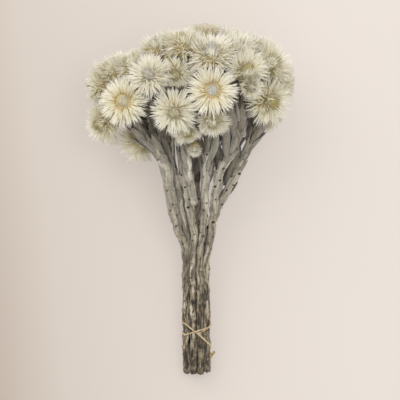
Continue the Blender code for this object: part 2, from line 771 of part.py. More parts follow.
def ring_tube(points, radius, sides):
    """A closed tube round a closed line."""
    count = len(points)
    middle = sum(points) / count
    out_points, faces = [], []
    for k, place in enumerate(points):
        along = unit(points[(k + 1) % count] - points[k - 1])
        out = place - middle
        out = unit(out - along * (out @ along))
        side = np.cross(along, out)
        for s in range(sides):
            angle = 2 * math.pi * s / sides
            out_points.append(place + radius * (math.cos(angle) * out + math.sin(angle) * side))
    for k in range(count):
        for s in range(sides):
            a, b = k * sides + s, k * sides + (s + 1) % sides
            c, d = (b + sides) % (count * sides), (a + sides) % (count * sides)
            faces.append((a, b, c, d))
    return out_points, faces


def material(name, colour, roughness):
    made = bpy.data.materials.new(name)
    made.use_nodes = True
    shader = made.node_tree.nodes["Principled BSDF"]
    shader.inputs["Base Color"].default_value = (*colour, 1.0)
    shader.inputs["Roughness"].default_value = roughness
    shader.inputs["Metallic"].default_value = 0.0
    return made


def mesh_object(name, points, faces, collection=None):
    """A new object from points in millimetres and faces."""
    mesh = bpy.data.meshes.new(name)
    mesh.from_pydata([tuple(p * MM) for p in points], [], faces)
    mesh.validate()
    made = bpy.data.objects.new(name, mesh)
    (collection or bpy.context.scene.collection).objects.link(made)
    return made


def is_closed(mesh):
    """Whether every edge has exactly two faces."""
    uses = {}
    for face in mesh.polygons:
        for key in face.edge_keys:
            uses[key] = uses.get(key, 0) + 1
    return all(count == 2 for count in uses.values())


def union(name, shapes):
    """One object that joins several closed shapes by a Boolean union on a collection."""
    first = mesh_object(name, *shapes[0])
    parts = bpy.data.collections.new(name + "_parts")
    bpy.context.scene.collection.children.link(parts)
    for k, shape in enumerate(shapes[1:]):
        mesh_object(f"{name}_part_{k}", *shape, collection=parts)
    join = first.modifiers.new("join", "BOOLEAN")
    join.operation = "UNION"
    join.solver = "EXACT"
    join.operand_type = "COLLECTION"
    join.collection = parts
    graph = bpy.context.evaluated_depsgraph_get()
    joined = bpy.data.meshes.new_from_object(first.evaluated_get(graph), depsgraph=graph)
    first.modifiers.clear()
    split = bmesh.new()
    split.from_mesh(joined)
    bmesh.ops.triangulate(split, faces=split.faces)
    split.to_mesh(joined)
    split.free()
    first.data = joined
    for part in list(parts.objects):
        bpy.data.objects.remove(part, do_unlink=True)
    bpy.data.collections.remove(parts)
    return first


def leafy_stem(name, tubes, leaves):
    """The union of a stem's tubes and leaves. Faces that lie too close to each other can keep
    it from closing, so the twigs and leaves are then moved by a hundredth of a millimetre."""
    for nudge in range(NUDGES):
        shift = nudge * NUDGE
        moved = [([p + shift for p in points], faces) for points, faces in tubes[1:] + leaves]
        made = union(name, tubes[:1] + moved)
        if is_closed(made.data):
            return made
        bpy.data.objects.remove(made, do_unlink=True)
    raise ValueError(f"{name} does not close")


def build_heads(heads, obstacles):
    """Each head as a closed solid, its bracts pressed back from stems and leaves."""
    for head in heads:
        rng = random.Random(f"{SEED} {head.name}")
        tips = bract_tips(head, limits(head, heads), rng)
        press_back(head, tips, obstacles)
        points, faces, _ = head_mesh(head, tips)
        made = mesh_object(head.name, points, faces)
        paper = material(head.name + "_paper", PAPER_COLOUR, 0.55)
        made.data.materials.append(paper)


def build_stems(tubes, leaves):
    for number, stem in enumerate(STEMS):
        made = leafy_stem(stem.name, tubes[number], leaves[number])
        felt = material(stem.name + "_felt", FELT_COLOUR, 0.9)
        made.data.materials.clear()
        made.data.materials.append(felt)
        made.data.shade_smooth()
        made.data.set_sharp_from_angle(angle=math.radians(50))


def build_tie():
    """Tight turns round the bundle that cross at the knot."""
    turns = [loop_points(KNOT[1], slope, bend) for slope, bend in LOOPS]
    made = union("tie", [ring_tube(turn, STRAND_RADIUS, STRAND_SIDES) for turn in turns])
    made.data.materials.clear()
    made.data.materials.append(material("raffia", RAFFIA_COLOUR, 0.7))


def main():
    for thing in list(bpy.data.objects):
        bpy.data.objects.remove(thing, do_unlink=True)
    heads = [Head(number + 1, *row) for number, row in enumerate(HEADS)]
    make_room(heads)
    net = grow_net(heads)
    relax(net, heads)
    tubes = stem_shapes(net, heads, 0.0)
    swollen = stem_shapes(net, heads, SWELL)
    leaves = place_leaves(net, heads, swollen)
    grown = [shape for some in swollen.values() for shape in some]
    blades = [blade for some in leaves.values() for blade in some]
    obstacles = surface_tree(grown + blades)
    build_heads(heads, obstacles)
    build_stems(tubes, leaves)
    build_tie()


main()
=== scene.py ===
"""Looks of a hand bunch of dried everlasting flowers that lies on its side.

The bunch's own frame is used: +Y from the cut ends to the heads, +Z up, the surface at z = 0.
Lengths are in millimetres and are scaled once, where a mesh is made. The first half lays out the
heads and stems as the solids have them. The second half dresses them: papery bracts, a fluffy
disc and an involucre for each head, felted bark with leaf scars, felted leaves, and raffia.
"""

import random
from collections import namedtuple
from itertools import combinations
from math import cos, pi, radians, sin, sqrt

import bpy
import numpy as np
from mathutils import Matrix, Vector, noise
from mathutils.bvhtree import BVHTree
from numpy.linalg import norm


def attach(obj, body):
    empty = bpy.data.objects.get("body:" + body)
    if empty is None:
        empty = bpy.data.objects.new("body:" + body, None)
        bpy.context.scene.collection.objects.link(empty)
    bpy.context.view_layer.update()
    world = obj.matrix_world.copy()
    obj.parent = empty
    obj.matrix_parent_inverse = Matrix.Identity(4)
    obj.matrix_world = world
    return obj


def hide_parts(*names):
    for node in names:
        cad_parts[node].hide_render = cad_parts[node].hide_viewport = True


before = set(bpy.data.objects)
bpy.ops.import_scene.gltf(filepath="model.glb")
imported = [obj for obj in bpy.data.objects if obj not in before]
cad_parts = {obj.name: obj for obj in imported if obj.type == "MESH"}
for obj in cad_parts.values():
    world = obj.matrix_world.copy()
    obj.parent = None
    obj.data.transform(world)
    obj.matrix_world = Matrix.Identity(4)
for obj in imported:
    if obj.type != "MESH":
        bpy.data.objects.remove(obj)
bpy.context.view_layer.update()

MM = 0.001
SEED = 41
CIRCLE = 2 * pi
GOLDEN_TURN = pi * (3 - sqrt(5))

# Driving sizes of the whole bunch
LENGTH = 300.0
WIDTH = 178.0
HEIGHT = 114.0
GAP = 0.3

# Bundle of straight stems
BUNDLE_X = 5.6
ROW_HEIGHT = 4.95
CUT_Y = -0.5 * LENGTH
STEM_RADIUS = 2.7
FLAT_SIDES = 6
FLAT_END_Y = -138.0
RISE_Y = -128.0
RISE = 0.17
BUNDLE_TOP_Y = -50.0
BUNDLE_STATIONS = (FLAT_END_Y, RISE_Y, -102.0, -76.0, BUNDLE_TOP_Y)
BUNDLE_SWAY = (0.5, 40.0)

# Forks
NODE_STEP = 3.5
FORK_STEP = 2
TWIG_RADIUS = (1.9, 1.45)
TWIG_HOLD = 0.06
NECK_STRETCH = 5.0
BEND_NEAR, BEND_FAR = 0.4, (0.3, 6.0, 14.0)  # how stiffly a twig leaves its stem and meets its head
REACH_OF_NECK = 11.0  # a twig's nodes this near its head's neck aren't pushed by the head
CLEARANCE = 1.1
KIN = 5.0  # nodes of one stem that start no further apart don't push each other
PUSH, CORE_PUSH, STIFFNESS, LONGEST_MOVE = 0.3, 0.5, 0.22, 1.2
RELAX_STEPS = 180

# Heads, as parts of a head's radius unless they say otherwise
COLUMNS = 18
HIDDEN_COLUMNS = 15
BUD_COLUMNS = 9
BUD_RADIUS = 10.0  # millimetres: a head smaller than this is a bud with few bracts
DISC = (0.23, 0.03)
SHOULDER = (0.36, -0.08)
WAIST = (0.37, -0.30)
NECK_RADIUS = 2.2  # millimetres
NECK_DEPTH = (0.45, 5.0)  # part of the radius, and millimetres
BRACT_CENTRE = -0.10
LOWEST_RISE, HIGHEST_RISE, RISE_STEP = -8.0, 60.0, 4.0  # degrees
STEEPEST = 80.0
KEPT_LENGTH = 0.82
SITE_DEPTH = 0.25
BOX_WALLS = 5  # how many of a head's walls are the box's
HIDDEN_RISE = -30.0
MEETING = 60.0  # millimetres: heads further apart don't limit each other
ROOM_STEPS, ROOM_CLOSE = 80, 0.05

# Tie
STRAND_RADIUS = 0.62
STRAND_WEAR = 0.8  # how thick the raffia is, as a part of its solid
STRAND_SIDES = 12
LOOP_POINTS = 22
LOOPS = ((-0.92, -0.018), (0.45, 0.034))  # how each turn slants across the bundle, and bends
KNOT = (8.0, -114.5)
TIE_STEP = 0.8
KNOT_SIZE = (0.42, 0.38, 0.42)  # the knot's scale, and the radii of its strand and of the ends
# Loose ends of the tie, from its knot
KNOT_ENDS = (((0, 0, 0), (2.6, 2.0, 0.5), (5.2, 3.6, 0.6), (8.0, 4.6, 0.2)),
             ((0, 0, 0), (2.4, -2.6, 0.5), (4.8, -5.2, 0.9), (7.6, -9.0, 0.4)))

# Broken twig by the cut ends: from the stem to the middle and the tip of each part, and its radius
STUB_Y = -134.5
STUB_TWIGS = (((3.6, 1.2, 1.0), (6.4, 4.8, 1.4), 1.25), ((2.6, 1.8, 1.2), (3.2, 3.4, 1.6), 0.9))

# Bracts of a head, from its disc outwards. Sizes are parts of the head's radius.
BRACTS = 520
OPEN_HEADS = ("bloom_01", "bloom_08")  # whose discs are uncovered
# How olive a head's heart is, from 0 for silver grey through cream to 1
TONES = {"bloom_01": 0.5, "bloom_02": 0.95, "bloom_04": 0.55, "bloom_06": 0.75, "bloom_08": 0.1,
         "bloom_09": 0.6, "bloom_10": 0.05, "bloom_11": 0.85, "bloom_12": 0.4, "bloom_14": 0.12,
         "bloom_16": 0.8, "bloom_20": 0.9, "bloom_21": 0.7, "bloom_37": 0.98, "bloom_38": 0.5}
# The innermost and the outermost bract's rise in degrees, how far out the innermost one stands
# and where its colours start, the cushion's width and height, the disc's width, and its florets'
# least and greatest length
Style = namedtuple("Style", "rises seat first heart_width heart disc floret")
OPEN_STYLE = Style((38.0, -12.0), 0.27, 0.0, 0.20, 0.18, 0.215, (0.05, 0.12))
CLOSED_STYLE = Style((60.0, -12.0), 0.17, 0.3, 0.25, 0.41, 0.27, (0.13, 0.34))
SEAT_SHARES = (0.0, 0.4, 1.0)  # how far through the bracts these seats are
SEATS_OUT = (0.345, 0.36)
SEATS_ALONG = (0.0, -0.08, -0.34)
BRACT_REACH = ((0.0, 0.05, 0.29, 0.58, 1.0), (0.62, 0.74, 0.92, 1.04, 1.08))
BRACT_STATIONS = np.array((0.0, 0.2, 0.42, 0.64, 0.84, 1.0))
BRACT_WIDTHS = np.array((0.5, 0.62, 0.86, 1.0, 0.7, 0.0))
BRACT_WIDTH = (0.032, 0.054)
BRACT_LENGTHS = (0.84, 1.05)  # as parts of their reach
OWN_TONE = 0.75  # how much of a bract's tone is its head's
BRACT_CUP = 0.35
BRACT_ROLL = 0.35  # radians
BRACT_LEAN = 0.085  # sideways
BRACT_SPREAD = 8.0  # degrees, up and down
BEND = (0.34, 42.0, 84.0)  # how far out a bract bends, how much steeper it starts, and at most
WAYS_ROUND = 36  # for how many angles the lowest rise is worked out
SKIN_SHIFT = 970.0  # so that no two bracts have the same veins
TUFTS = ((9, 0.07), (17, 0.035))  # how many a head, and how far bracts turn towards them
STRAYS = (0.15, 18.0)  # the share of bracts that stand out from the rest, and by how much
CROSSING = (1.35, 1.0)  # how far bracts of large and of small heads reach to their neighbours
LARGE_HEAD = 20.0
SHORTEST_BRACT = 0.46
SCALES = 60
SCALE_FOOT = (0.36, 0.26)  # how far out and down they start
SCALE_SIZE = (0.42, 0.18, 0.11)  # their length, how much of it is lost at the neck, their width
SCALE_RISES = (62.0, 38.0, 8.0)  # of their lower and their upper half, and how much that varies
FLORETS = 220
FLORET_RISE = (90.0, 40.0, 18.0)  # in the middle, how much less at the rim, and how much it varies
FLORET_RADIUS, FLORET_TINTS = 0.024, 0.16
CORE_COLUMNS = 24
CORE = ((0.10, 0.03), (0.18, 0.02), (0.23, 0.0), (0.30, -0.03), (0.36, -0.09), (0.375, -0.20),
        (0.355, -0.31), (0.27, -0.42))
HEART_RINGS = 5
INVOLUCRE, FLUFF = 1, 2  # which of a head's materials these are

# Bark
BARK_STEP = 0.9
BARK_SIDES = (18, 12)  # of a stem and of its twigs
SCAR_STEP = 2.4
SCAR = (1.25, 0.72)  # half its width and half its height
SCAR_SHELF = 0.45
BARK_AGE = (30.0, -85.0)  # y where the felt begins to wear off, and where it is gone
BARK_WANDER = (1.2, 11.0)  # how far a stem strays from its line, and over what length
RAGGED, RAGGED_RINGS = 8.0, 9  # how deep the cut ends are torn, and over how many rings
HEEL = (0.55, 0.8, 0.95)  # how the sprig thins towards its torn heel
# Relief of the bark: how deep it is as a part of the radius, then how fine round and along a stem
KNOTS, FLUTES = (0.22, 0.17), (0.20, 1.2, 0.06)
PLATES, CRACKS, CRACK_WIDTH = (0.14, 2.0, 0.30), (0.16, 1.5, 0.055), 0.09

# Leaves
LEAF_STEP = 2.7
LEAF_STATIONS = np.array((0.0, 0.16, 0.34, 0.52, 0.70, 0.86, 1.0))
LEAF_WIDTHS = np.array((0.45, 0.72, 0.95, 1.0, 0.84, 0.5, 0.04))
LEAF_LENGTH = (12.0, 23.0)
LEAF_WIDTH = (4.6, 8.4)
LEAF_THICKNESS = 0.5
LEAF_MARGIN, TOP_MARGIN = 8.0, 14.0  # how far leaves stay from the box's sides and its top
LEAF_LEAN = (0.04, 0.42)
LEAF_LEAN_Y = (-20.0, 40.0)  # from where to where the leaves begin to stand out
# Painted shade on the leaves of each row: the lower a row lies in the bunch, the darker brown its
# leaves
ROW_PAINTED_SHADE = {2: 0.12, 1: 0.4, 0: 0.7, None: 0.0}
# Broad leaves in view under the heads: the stem, the root, the tip and the width
BROAD_LEAVES = (
    ("stem_front_4", (39, 50, 66), (33, 84, 78), 9.0),
    ("stem_front_4", (45, 54, 66), (43, 82, 76), 8.0),
    ("stem_front_4", (31, 36, 59), (30, 68, 74), 8.5),
    ("stem_front_3", (18, 34, 60), (24, 58, 72), 7.5),
    ("stem_front_1", (-22, 34, 60), (-33, 56, 68), 8.0),
    ("stem_front_1", (-27, 42, 62), (-46, 54, 66), 7.5),
    ("stem_front_4", (30, 12, 38), (43, 46, 52), 9.5),
    ("stem_front_4", (25, 18, 40), (26, 50, 54), 8.0),
    ("stem_front_3", (9, 24, 46), (11, 54, 54), 8.0),
    ("stem_front_2", (-1, 12, 38), (-1, 40, 46), 7.0),
)
BROAD_LOOK = (0.1, 0.42)  # how far they lean from the stem, and how dry they are, with painted shade under the heads
DRY_AND_SHADED_LEAF_Y = (18.0, 52.0)  # from where to where the leaves turn from felted grey to dry brown, darkened as painted shade under the heads
FIRST_LEAF_Y = (-26.0, 30.0)  # where the first leaves stand, and where they stand densely

# Camera and light
VIEW_CENTRE = (8.6, 0.0)
VIEW_WIDTH = 344.0
VIEW_DISTANCE = 4000.0
SENSOR = 36.0

FLOOR_SIZE = 4000.0
FLOOR_DROP = 0.2
FLOOR_PAINTED_FALLOFF = (0.60, 3.0, 0.4)  # painted falloff of light, darker towards -x and -y: how pale it is in the middle, and how much more a metre on in x, y
# The floor glows by itself: painted light that lightens the shadows on it
FLOOR_GLOW = 1.6
LIGHT_AIM = (0.0, 0.0, 30.0)
KEY_LIGHT = ((360.0, 280.0, 1500.0), 700.0, 6.5, (1.0, 0.99, 0.97))
FILL_LIGHT = ((-600.0, 850.0, 900.0), 1200.0, 9.0, (0.99, 0.99, 1.0))
AIR_STRENGTH = 0.88

# Colours as they look on screen, 0 to 255
WHITE = (255, 255, 255)
AIR_COLOUR = (247, 247, 246)
GOLDEN = ((196, 172, 120), (232, 214, 166))
YOUNG_TWIG = ((98, 80, 42), (178, 156, 98))

# Colours that run on: rows of a place and its red, green and blue
# The floor's painted falloff of light, from its painted shade to its palest
FLOOR_FALLOFF_STOPS = ((0.0, 115, 104, 95), (0.25, 137, 130, 123), (1.0, 149, 143, 138))
# Along a bract from its foot to its tip. The golden and olive foot is partly the bract's own colour
# and partly painted shade deep in the head.
BRACT_STOPS = ((0.0, 238, 221, 176), (0.07, 226, 197, 130), (0.14, 243, 232, 194),
               (0.45, 244, 236, 206), (0.72, 252, 249, 237), (1.0, 255, 254, 250))
OLIVE_STOPS = ((0.0, 202, 186, 116), (0.22, 218, 205, 140), (0.45, 235, 228, 184),
               (0.72, 249, 246, 228), (1.0, 253, 252, 244))
FLUFF_STOPS = ((0.0, 243, 242, 238), (0.3, 251, 249, 238), (0.65, 242, 234, 196),
               (1.0, 226, 214, 142))
FELT_STOPS = ((0.32, 108, 101, 86), (0.5, 178, 171, 155), (0.64, 222, 216, 203))
BARK_STOPS = ((0.34, 38, 31, 22), (0.43, 98, 86, 66), (0.53, 164, 151, 126), (0.66, 216, 208, 190))
RUST_STOPS = ((0.56, *WHITE), (0.64, 214, 182, 120), (0.72, 186, 140, 84))
# Painted shade in the hollows of the bark's relief
HOLLOW_SHADE_STOPS = ((0.12, 96, 84, 68), (0.45, 236, 233, 226), (1.0, *WHITE))
SPLIT_STOPS = ((0.0, 52, 42, 32), (0.026, *WHITE))
CRACK_STOPS = ((0.0, 70, 58, 44), (0.03, *WHITE))
FOOT_STOPS = ((0.58, *WHITE), (0.74, 206, 198, 184))
LEAF_STOPS = ((0.28, 108, 101, 87), (0.5, 154, 147, 131), (0.75, 194, 188, 174))
RAFFIA_STOPS = ((0.3, 178, 150, 110), (0.5, 216, 194, 156), (0.75, 238, 223, 192))

EVEN = (1.0, 1.0, 1.0)  # a grain that isn't stretched
BRACT_GLOW = 0.42  # how much of the light a bract lets through
FLUFF_GLOW = 0.22

# A leafy stem: its place in the bundle, the route that it takes to its forks, its radius there
# and at its forks, and how firmly its nodes hold their places
Stem = namedtuple("Stem", "name across row cut route thick spread hold",
                  defaults=(STEM_RADIUS, STEM_RADIUS, 0.02))

# The front row from left to right, the middle row, the row that lies on the surface, and a
# short sprig whose torn heel lies on the front row. A route holds (x, y, z) past the bundle.
STEMS = (
    Stem("stem_front_1", -8.9, 2, 0.8, ((-4.3, -36, 30), (-10.3, -26, 33), (-13.8, -13, 37.5),
         (-15.5, 0, 42), (-18, 17, 48.5), (-20.6, 30, 54), (-27, 40, 58), (-36, 49, 62)),
         2.75, 4.6, 0.1),
    Stem("stem_front_2", -3.1, 2, 2.6, ((3.4, -30, 31.5), (1.7, -17, 35.5), (-0.9, -4.3, 40),
         (-3.4, 8.6, 45), (-5.2, 25.8, 51), (-8, 58, 64)), 2.7, 3.8, 0.1),
    Stem("stem_front_3", 3.3, 2, 0.0, ((11.2, -34.4, 31), (12, -21.5, 34.5), (12.9, -8.6, 38.5),
         (12.9, 4.3, 43), (13.8, 17.2, 48), (14.6, 30, 53.5), (16.3, 43, 59.5), (17, 62, 67)),
         2.65, 3.4, 0.1),
    Stem("stem_front_4", 9.0, 2, 1.7, ((15.5, -38.7, 30), (18, -25.8, 33), (19.8, -12.9, 36.5),
         (20.6, 0, 41), (24, 17.2, 47), (27.5, 30, 52), (34.4, 37.8, 56), (42, 57.6, 64),
         (43, 66, 67)), 2.7, 3.5, 0.1),
    Stem("stem_middle_1", -6.0, 1, 3.1, ((-2.6, -30, 26.5), (-5.2, -19, 31), (-6.9, -4.3, 36),
         (-11.2, 17, 43), (-15.5, 30, 48), (-24, 62, 58)), 2.7, 3.5, 0.08),
    Stem("stem_middle_2", 0.1, 1, 1.2, ()),
    Stem("stem_middle_3", 6.1, 1, 2.2, ((13.8, -34.4, 25.5), (18, -21.5, 28), (22.4, -10.3, 31.5),
         (27.5, 0.9, 36), (32.7, 8.6, 39), (37.8, 18.9, 43), (43, 30, 47), (49, 43, 51.5),
         (60, 60, 57)), 2.7, 3.2, 0.1),
    Stem("stem_low_1", -8.9, 0, 1.5, ((-5.5, -32, 19), (-9, -5, 22), (-14, 22, 26), (-26, 46, 32),
         (-38, 58, 36))),
    Stem("stem_low_2", -3.0, 0, 0.0, ()),
    Stem("stem_low_3", 3.0, 0, 0.9, ()),
    Stem("stem_low_4", 8.9, 0, 2.0, ()),
    Stem("stem_sprig", None, None, None, ((3.8, -4.5, 47.5), (2.4, 4.5, 51.5), (0, 17, 56),
         (-3.4, 34.4, 62), (-5, 48, 68)), 2.9, 3.4, 0.1),
)

# The heads of each stem: the disc's (x, y, z), the radius, the axis as a turn from +X and a rise
# in degrees, and how far the bracts are shut. A stem's first head ends the stem itself.
HEADS = {
    "stem_front_1": (((-56, 83, 92), 22, 150, 75), ((-74, 65, 64), 20, 205, 35),
                     ((-46, 47, 45), 20, 215, -30)),
    "stem_front_2": (((-13, 74, 98), 21, 265, 72), ((-12, 106, 93), 17, 270, 66, 0.15),
                     ((-6, 132, 82), 21, 95, 20), ((-28, 129, 70), 19, 100, 20)),
    "stem_front_3": (((19, 92, 104), 22.5, 90, 86), ((19, 66, 87), 17, 270, 45, 0.1),
                     ((18, 123, 92), 23, 90, 45)),
    "stem_front_4": (((48, 109, 92), 20, 60, 70), ((51, 95, 95), 13, 0, 75, 0.45),
                     ((41, 127, 78), 20, 75, 35)),
    "stem_middle_1": (((-34, 105, 95), 20, 120, 68), ((-50, 114, 76), 18, 120, 35),
                      ((-66, 110, 64), 19, 135, 20)),
    "stem_middle_2": (((13, 143, 60), 18, 92, 5), ((33, 134, 58), 18, 85, 0),
                      ((58, 128, 59), 19, 55, 10)),
    "stem_middle_3": (((67, 83, 78), 22, -15, 50), ((69, 115, 72), 21, 35, 40),
                      ((80, 101, 55), 20, 10, 0), ((70, 72, 42), 18, -30, -8)),
    "stem_low_1": (((-78, 97, 58), 19, 175, 5), ((-71, 60, 37), 17, 215, -10),
                   ((-69, 86, 20), 19, 180, -40)),
    "stem_low_2": (((-52, 103, 14.5), 20, 130, -60), ((-21, 120, 16), 19, 100, -40),
                   ((-34, 82, 10.5), 20, 240, -80)),
    "stem_low_3": (((0, 95, 10.5), 21, 90, -85), ((9, 125, 18), 20, 90, -45),
                   ((-9, 64, 18), 18, 180, -75)),
    "stem_low_4": (((30, 90, 10.5), 20, 60, -80), ((39, 120, 16), 19, 80, -40),
                   ((64, 103, 20), 19, 30, -40), ((56, 73, 20), 19, -30, -42)),
    "stem_sprig": (((-2, 57, 83), 14, 285, 65, 0.1), ((4, 43, 80), 8, 270, 50, 0.5)),
}


def vec(*values):
    return np.array(values, dtype=float)


def unit(v):
    return v / norm(v)


def pointing(turn, rise):
    """The unit vector at a turn from +X and a rise from level, in degrees."""
    t, r = radians(turn), radians(rise)
    return vec(cos(r) * cos(t), cos(r) * sin(t), sin(r))


def across_pair(axis):
    """Two unit vectors square to an axis and to each other."""
    side = unit(np.cross(axis, vec(0.31, 0.22, 0.92) if abs(axis[2]) < 0.9 else vec(1, 0.2, 0)))
    return side, np.cross(axis, side)


def swing(one, other, angle):
    """A direction swung towards another one that is square to it."""
    return one * cos(angle) + other * sin(angle)


def compass(count):
    """Evenly spread angles round a circle."""
    return np.arange(count) * CIRCLE / count


class Head:
    """One flower head: where it stands, which way it faces and the room that it has."""

    def __init__(self, number, stem, disc, radius, turn, rise, shut=0.0):
        self.name = f"bloom_{number:02d}"
        self.stem, self.radius, self.shut = stem, radius, shut
        self.disc = vec(*disc)
        self.axis = pointing(turn, rise)
        self.columns = COLUMNS if rise > HIDDEN_RISE else HIDDEN_COLUMNS
        if radius < BUD_RADIUS:
            self.columns = BUD_COLUMNS
        self.side, self.up = across_pair(self.axis)

    def depth(self):
        return NECK_DEPTH[0] * self.radius + NECK_DEPTH[1]

    def base(self):
        return self.disc - self.axis * self.depth()

    def site(self):
        return self.disc - self.axis * SITE_DEPTH * self.radius

    def around(self, angle, out, along):
        """The point at an angle about the axis, this far out and along it."""
        return self.disc + swing(self.side, self.up, angle) * out + self.axis * along

    def core(self):
        """The core's points, from the disc's rim down to the neck."""
        turn = CIRCLE / self.columns
        found = [self.around((k + 0.5 * (row % 2)) * turn, out * self.radius, along * self.radius)
                 for row, (out, along) in enumerate((DISC, SHOULDER, WAIST))
                 for k in range(self.columns)]
        found += [self.around((3 * k + 1) * turn, NECK_RADIUS, -self.depth())
                  for k in range(self.columns // 3)]
        return np.array(found)


def parting(one, other):
    """The way from one head to another, how far it is, and how far each core reaches on it. A
    head is given with its core's points."""
    (head, core), (neighbour, theirs) = one, other
    apart = neighbour.site() - head.site()
    wide = norm(apart)
    normal = apart / wide
    near = ((core - head.site()) @ normal).max()
    return normal, wide, near, ((theirs - neighbour.site()) @ -normal).max()


def make_room(heads):
    """Moves heads apart until no core crosses the plane that parts it from its neighbour."""
    for _ in range(ROOM_STEPS):
        cores = [(head, head.core()) for head in heads]
        moved = 0.0
        for one, other in combinations(cores, 2):
            normal, wide, near, far = parting(one, other)
            lack = near + far + 3 * GAP - wide
            if lack > 0:
                one[0].disc = one[0].disc - normal * lack * 0.5
                other[0].disc = other[0].disc + normal * lack * 0.5
                moved = max(moved, lack)
        if moved < ROOM_CLOSE:
            break


def limits(head, heads):
    """The flat walls of the room that a head has: their normals and their offsets."""
    walls = [(vec(1, 0, 0), 0.5 * WIDTH), (vec(-1, 0, 0), 0.5 * WIDTH),
             (vec(0, 1, 0), 0.5 * LENGTH), (vec(0, 0, 1), HEIGHT), (vec(0, 0, -1), 0.0)]
    own = (head, head.core())
    for other in heads:
        if other is head:
            continue
        normal, wide, near, far = parting(own, (other, other.core()))
        if wide <= MEETING:
            share = (wide**2 + head.radius**2 - other.radius**2) / (2 * wide)
            share = min(max(share, near + GAP), wide - far - GAP)
            walls.append((normal, head.site() @ normal + share - 0.5 * GAP))
    return [np.array(column) for column in zip(*walls)]


def free_length(start, direction, walls):
    """How far a ray runs before it meets a wall."""
    normals, offsets = walls
    closing = normals @ direction
    room = offsets - normals @ start
    ahead = closing > 1e-6
    return (room[ahead] / closing[ahead]).min()


def box_of(walls):
    """The walls that are the box's own."""
    return walls[0][:BOX_WALLS], walls[1][:BOX_WALLS]


def leaning(head, angle, rise):
    """The unit vector at an angle about a head's axis and a rise from square to it."""
    return swing(swing(head.side, head.up, angle), head.axis, radians(rise))


def opened(rise, head):
    """A bract's rise on a head that may be partly shut."""
    return rise + head.shut * (STEEPEST - rise)


def lowest_rise(head, centre, angle, walls):
    """How flat the outermost bract can lie on this side and keep most of its length."""
    rise = opened(LOWEST_RISE, head)
    best, longest = rise, 0.0
    while rise < HIGHEST_RISE:
        room = free_length(centre, leaning(head, angle, rise), walls)
        if room >= KEPT_LENGTH * head.radius:
            return rise
        if room > longest:
            best, longest = rise, room
        rise += RISE_STEP
    return best


# A place on a stem's centre line: its radius, the stem's number, how firmly it holds its place,
# whether it never moves, and the number of the head that its twig ends in
Node = namedtuple("Node", "place thick stem hold pinned head", defaults=(0.0, False, -1))


def lift(y):
    """How far the bundle has risen from the surface."""
    if y < FLAT_END_Y:
        return 0.0
    if y < RISE_Y:
        return RISE * (y - FLAT_END_Y) ** 2 / (2 * (RISE_Y - FLAT_END_Y))
    return RISE * (y - 0.5 * (FLAT_END_Y + RISE_Y))


def slot(stem, y):
    """The centre of a stem in the bundle. A stem of the lowest row has a flat side down."""
    rest = STEM_RADIUS * cos(pi / FLAT_SIDES)
    sway, length = BUNDLE_SWAY
    x = BUNDLE_X + stem.across + sway * sin(y / length)
    return vec(x, y, rest + stem.row * ROW_HEIGHT + lift(y))


def smooth_route(points, step):
    """Points at even steps along a smooth curve through the given ones."""
    padded = [2 * points[0] - points[1]] + list(points) + [2 * points[-1] - points[-2]]
    fine = []
    for a, b, c, d in zip(padded, padded[1:], padded[2:], padded[3:]):
        for t in np.linspace(0, 1, 12, endpoint=False):
            fine.append(0.5 * (2 * b + (c - a) * t + (2 * a - 5 * b + 4 * c - d) * t**2
                               + (3 * b - a - 3 * c + d) * t**3))
    fine.append(points[-1])
    return even_steps(np.array(fine), step)


def even_steps(fine, step):
    """Points at even steps along a line of fine ones."""
    lengths = norm(np.diff(fine, axis=0), axis=1)
    along = np.concatenate([[0], np.cumsum(lengths)])
    count = max(2, int(round(along[-1] / step)) + 1)
    marks = np.linspace(0, along[-1], count)
    columns = range(fine.shape[1])
    return np.array([[np.interp(m, along, fine[:, k]) for k in columns] for m in marks])


def bent_route(start, leaving, end, arriving):
    """Points at even steps along one bend between two places and directions, after its start."""
    wide = norm(end - start)
    near = start + leaving * BEND_NEAR * wide
    far = end - arriving * min(max(BEND_FAR[0] * wide, BEND_FAR[1]), BEND_FAR[2])
    t = np.linspace(0, 1, 40)[:, None]
    s = 1 - t
    fine = s**3 * start + 3 * s**2 * t * near + 3 * s * t**2 * far + t**3 * end
    return even_steps(fine, NODE_STEP)[1:]


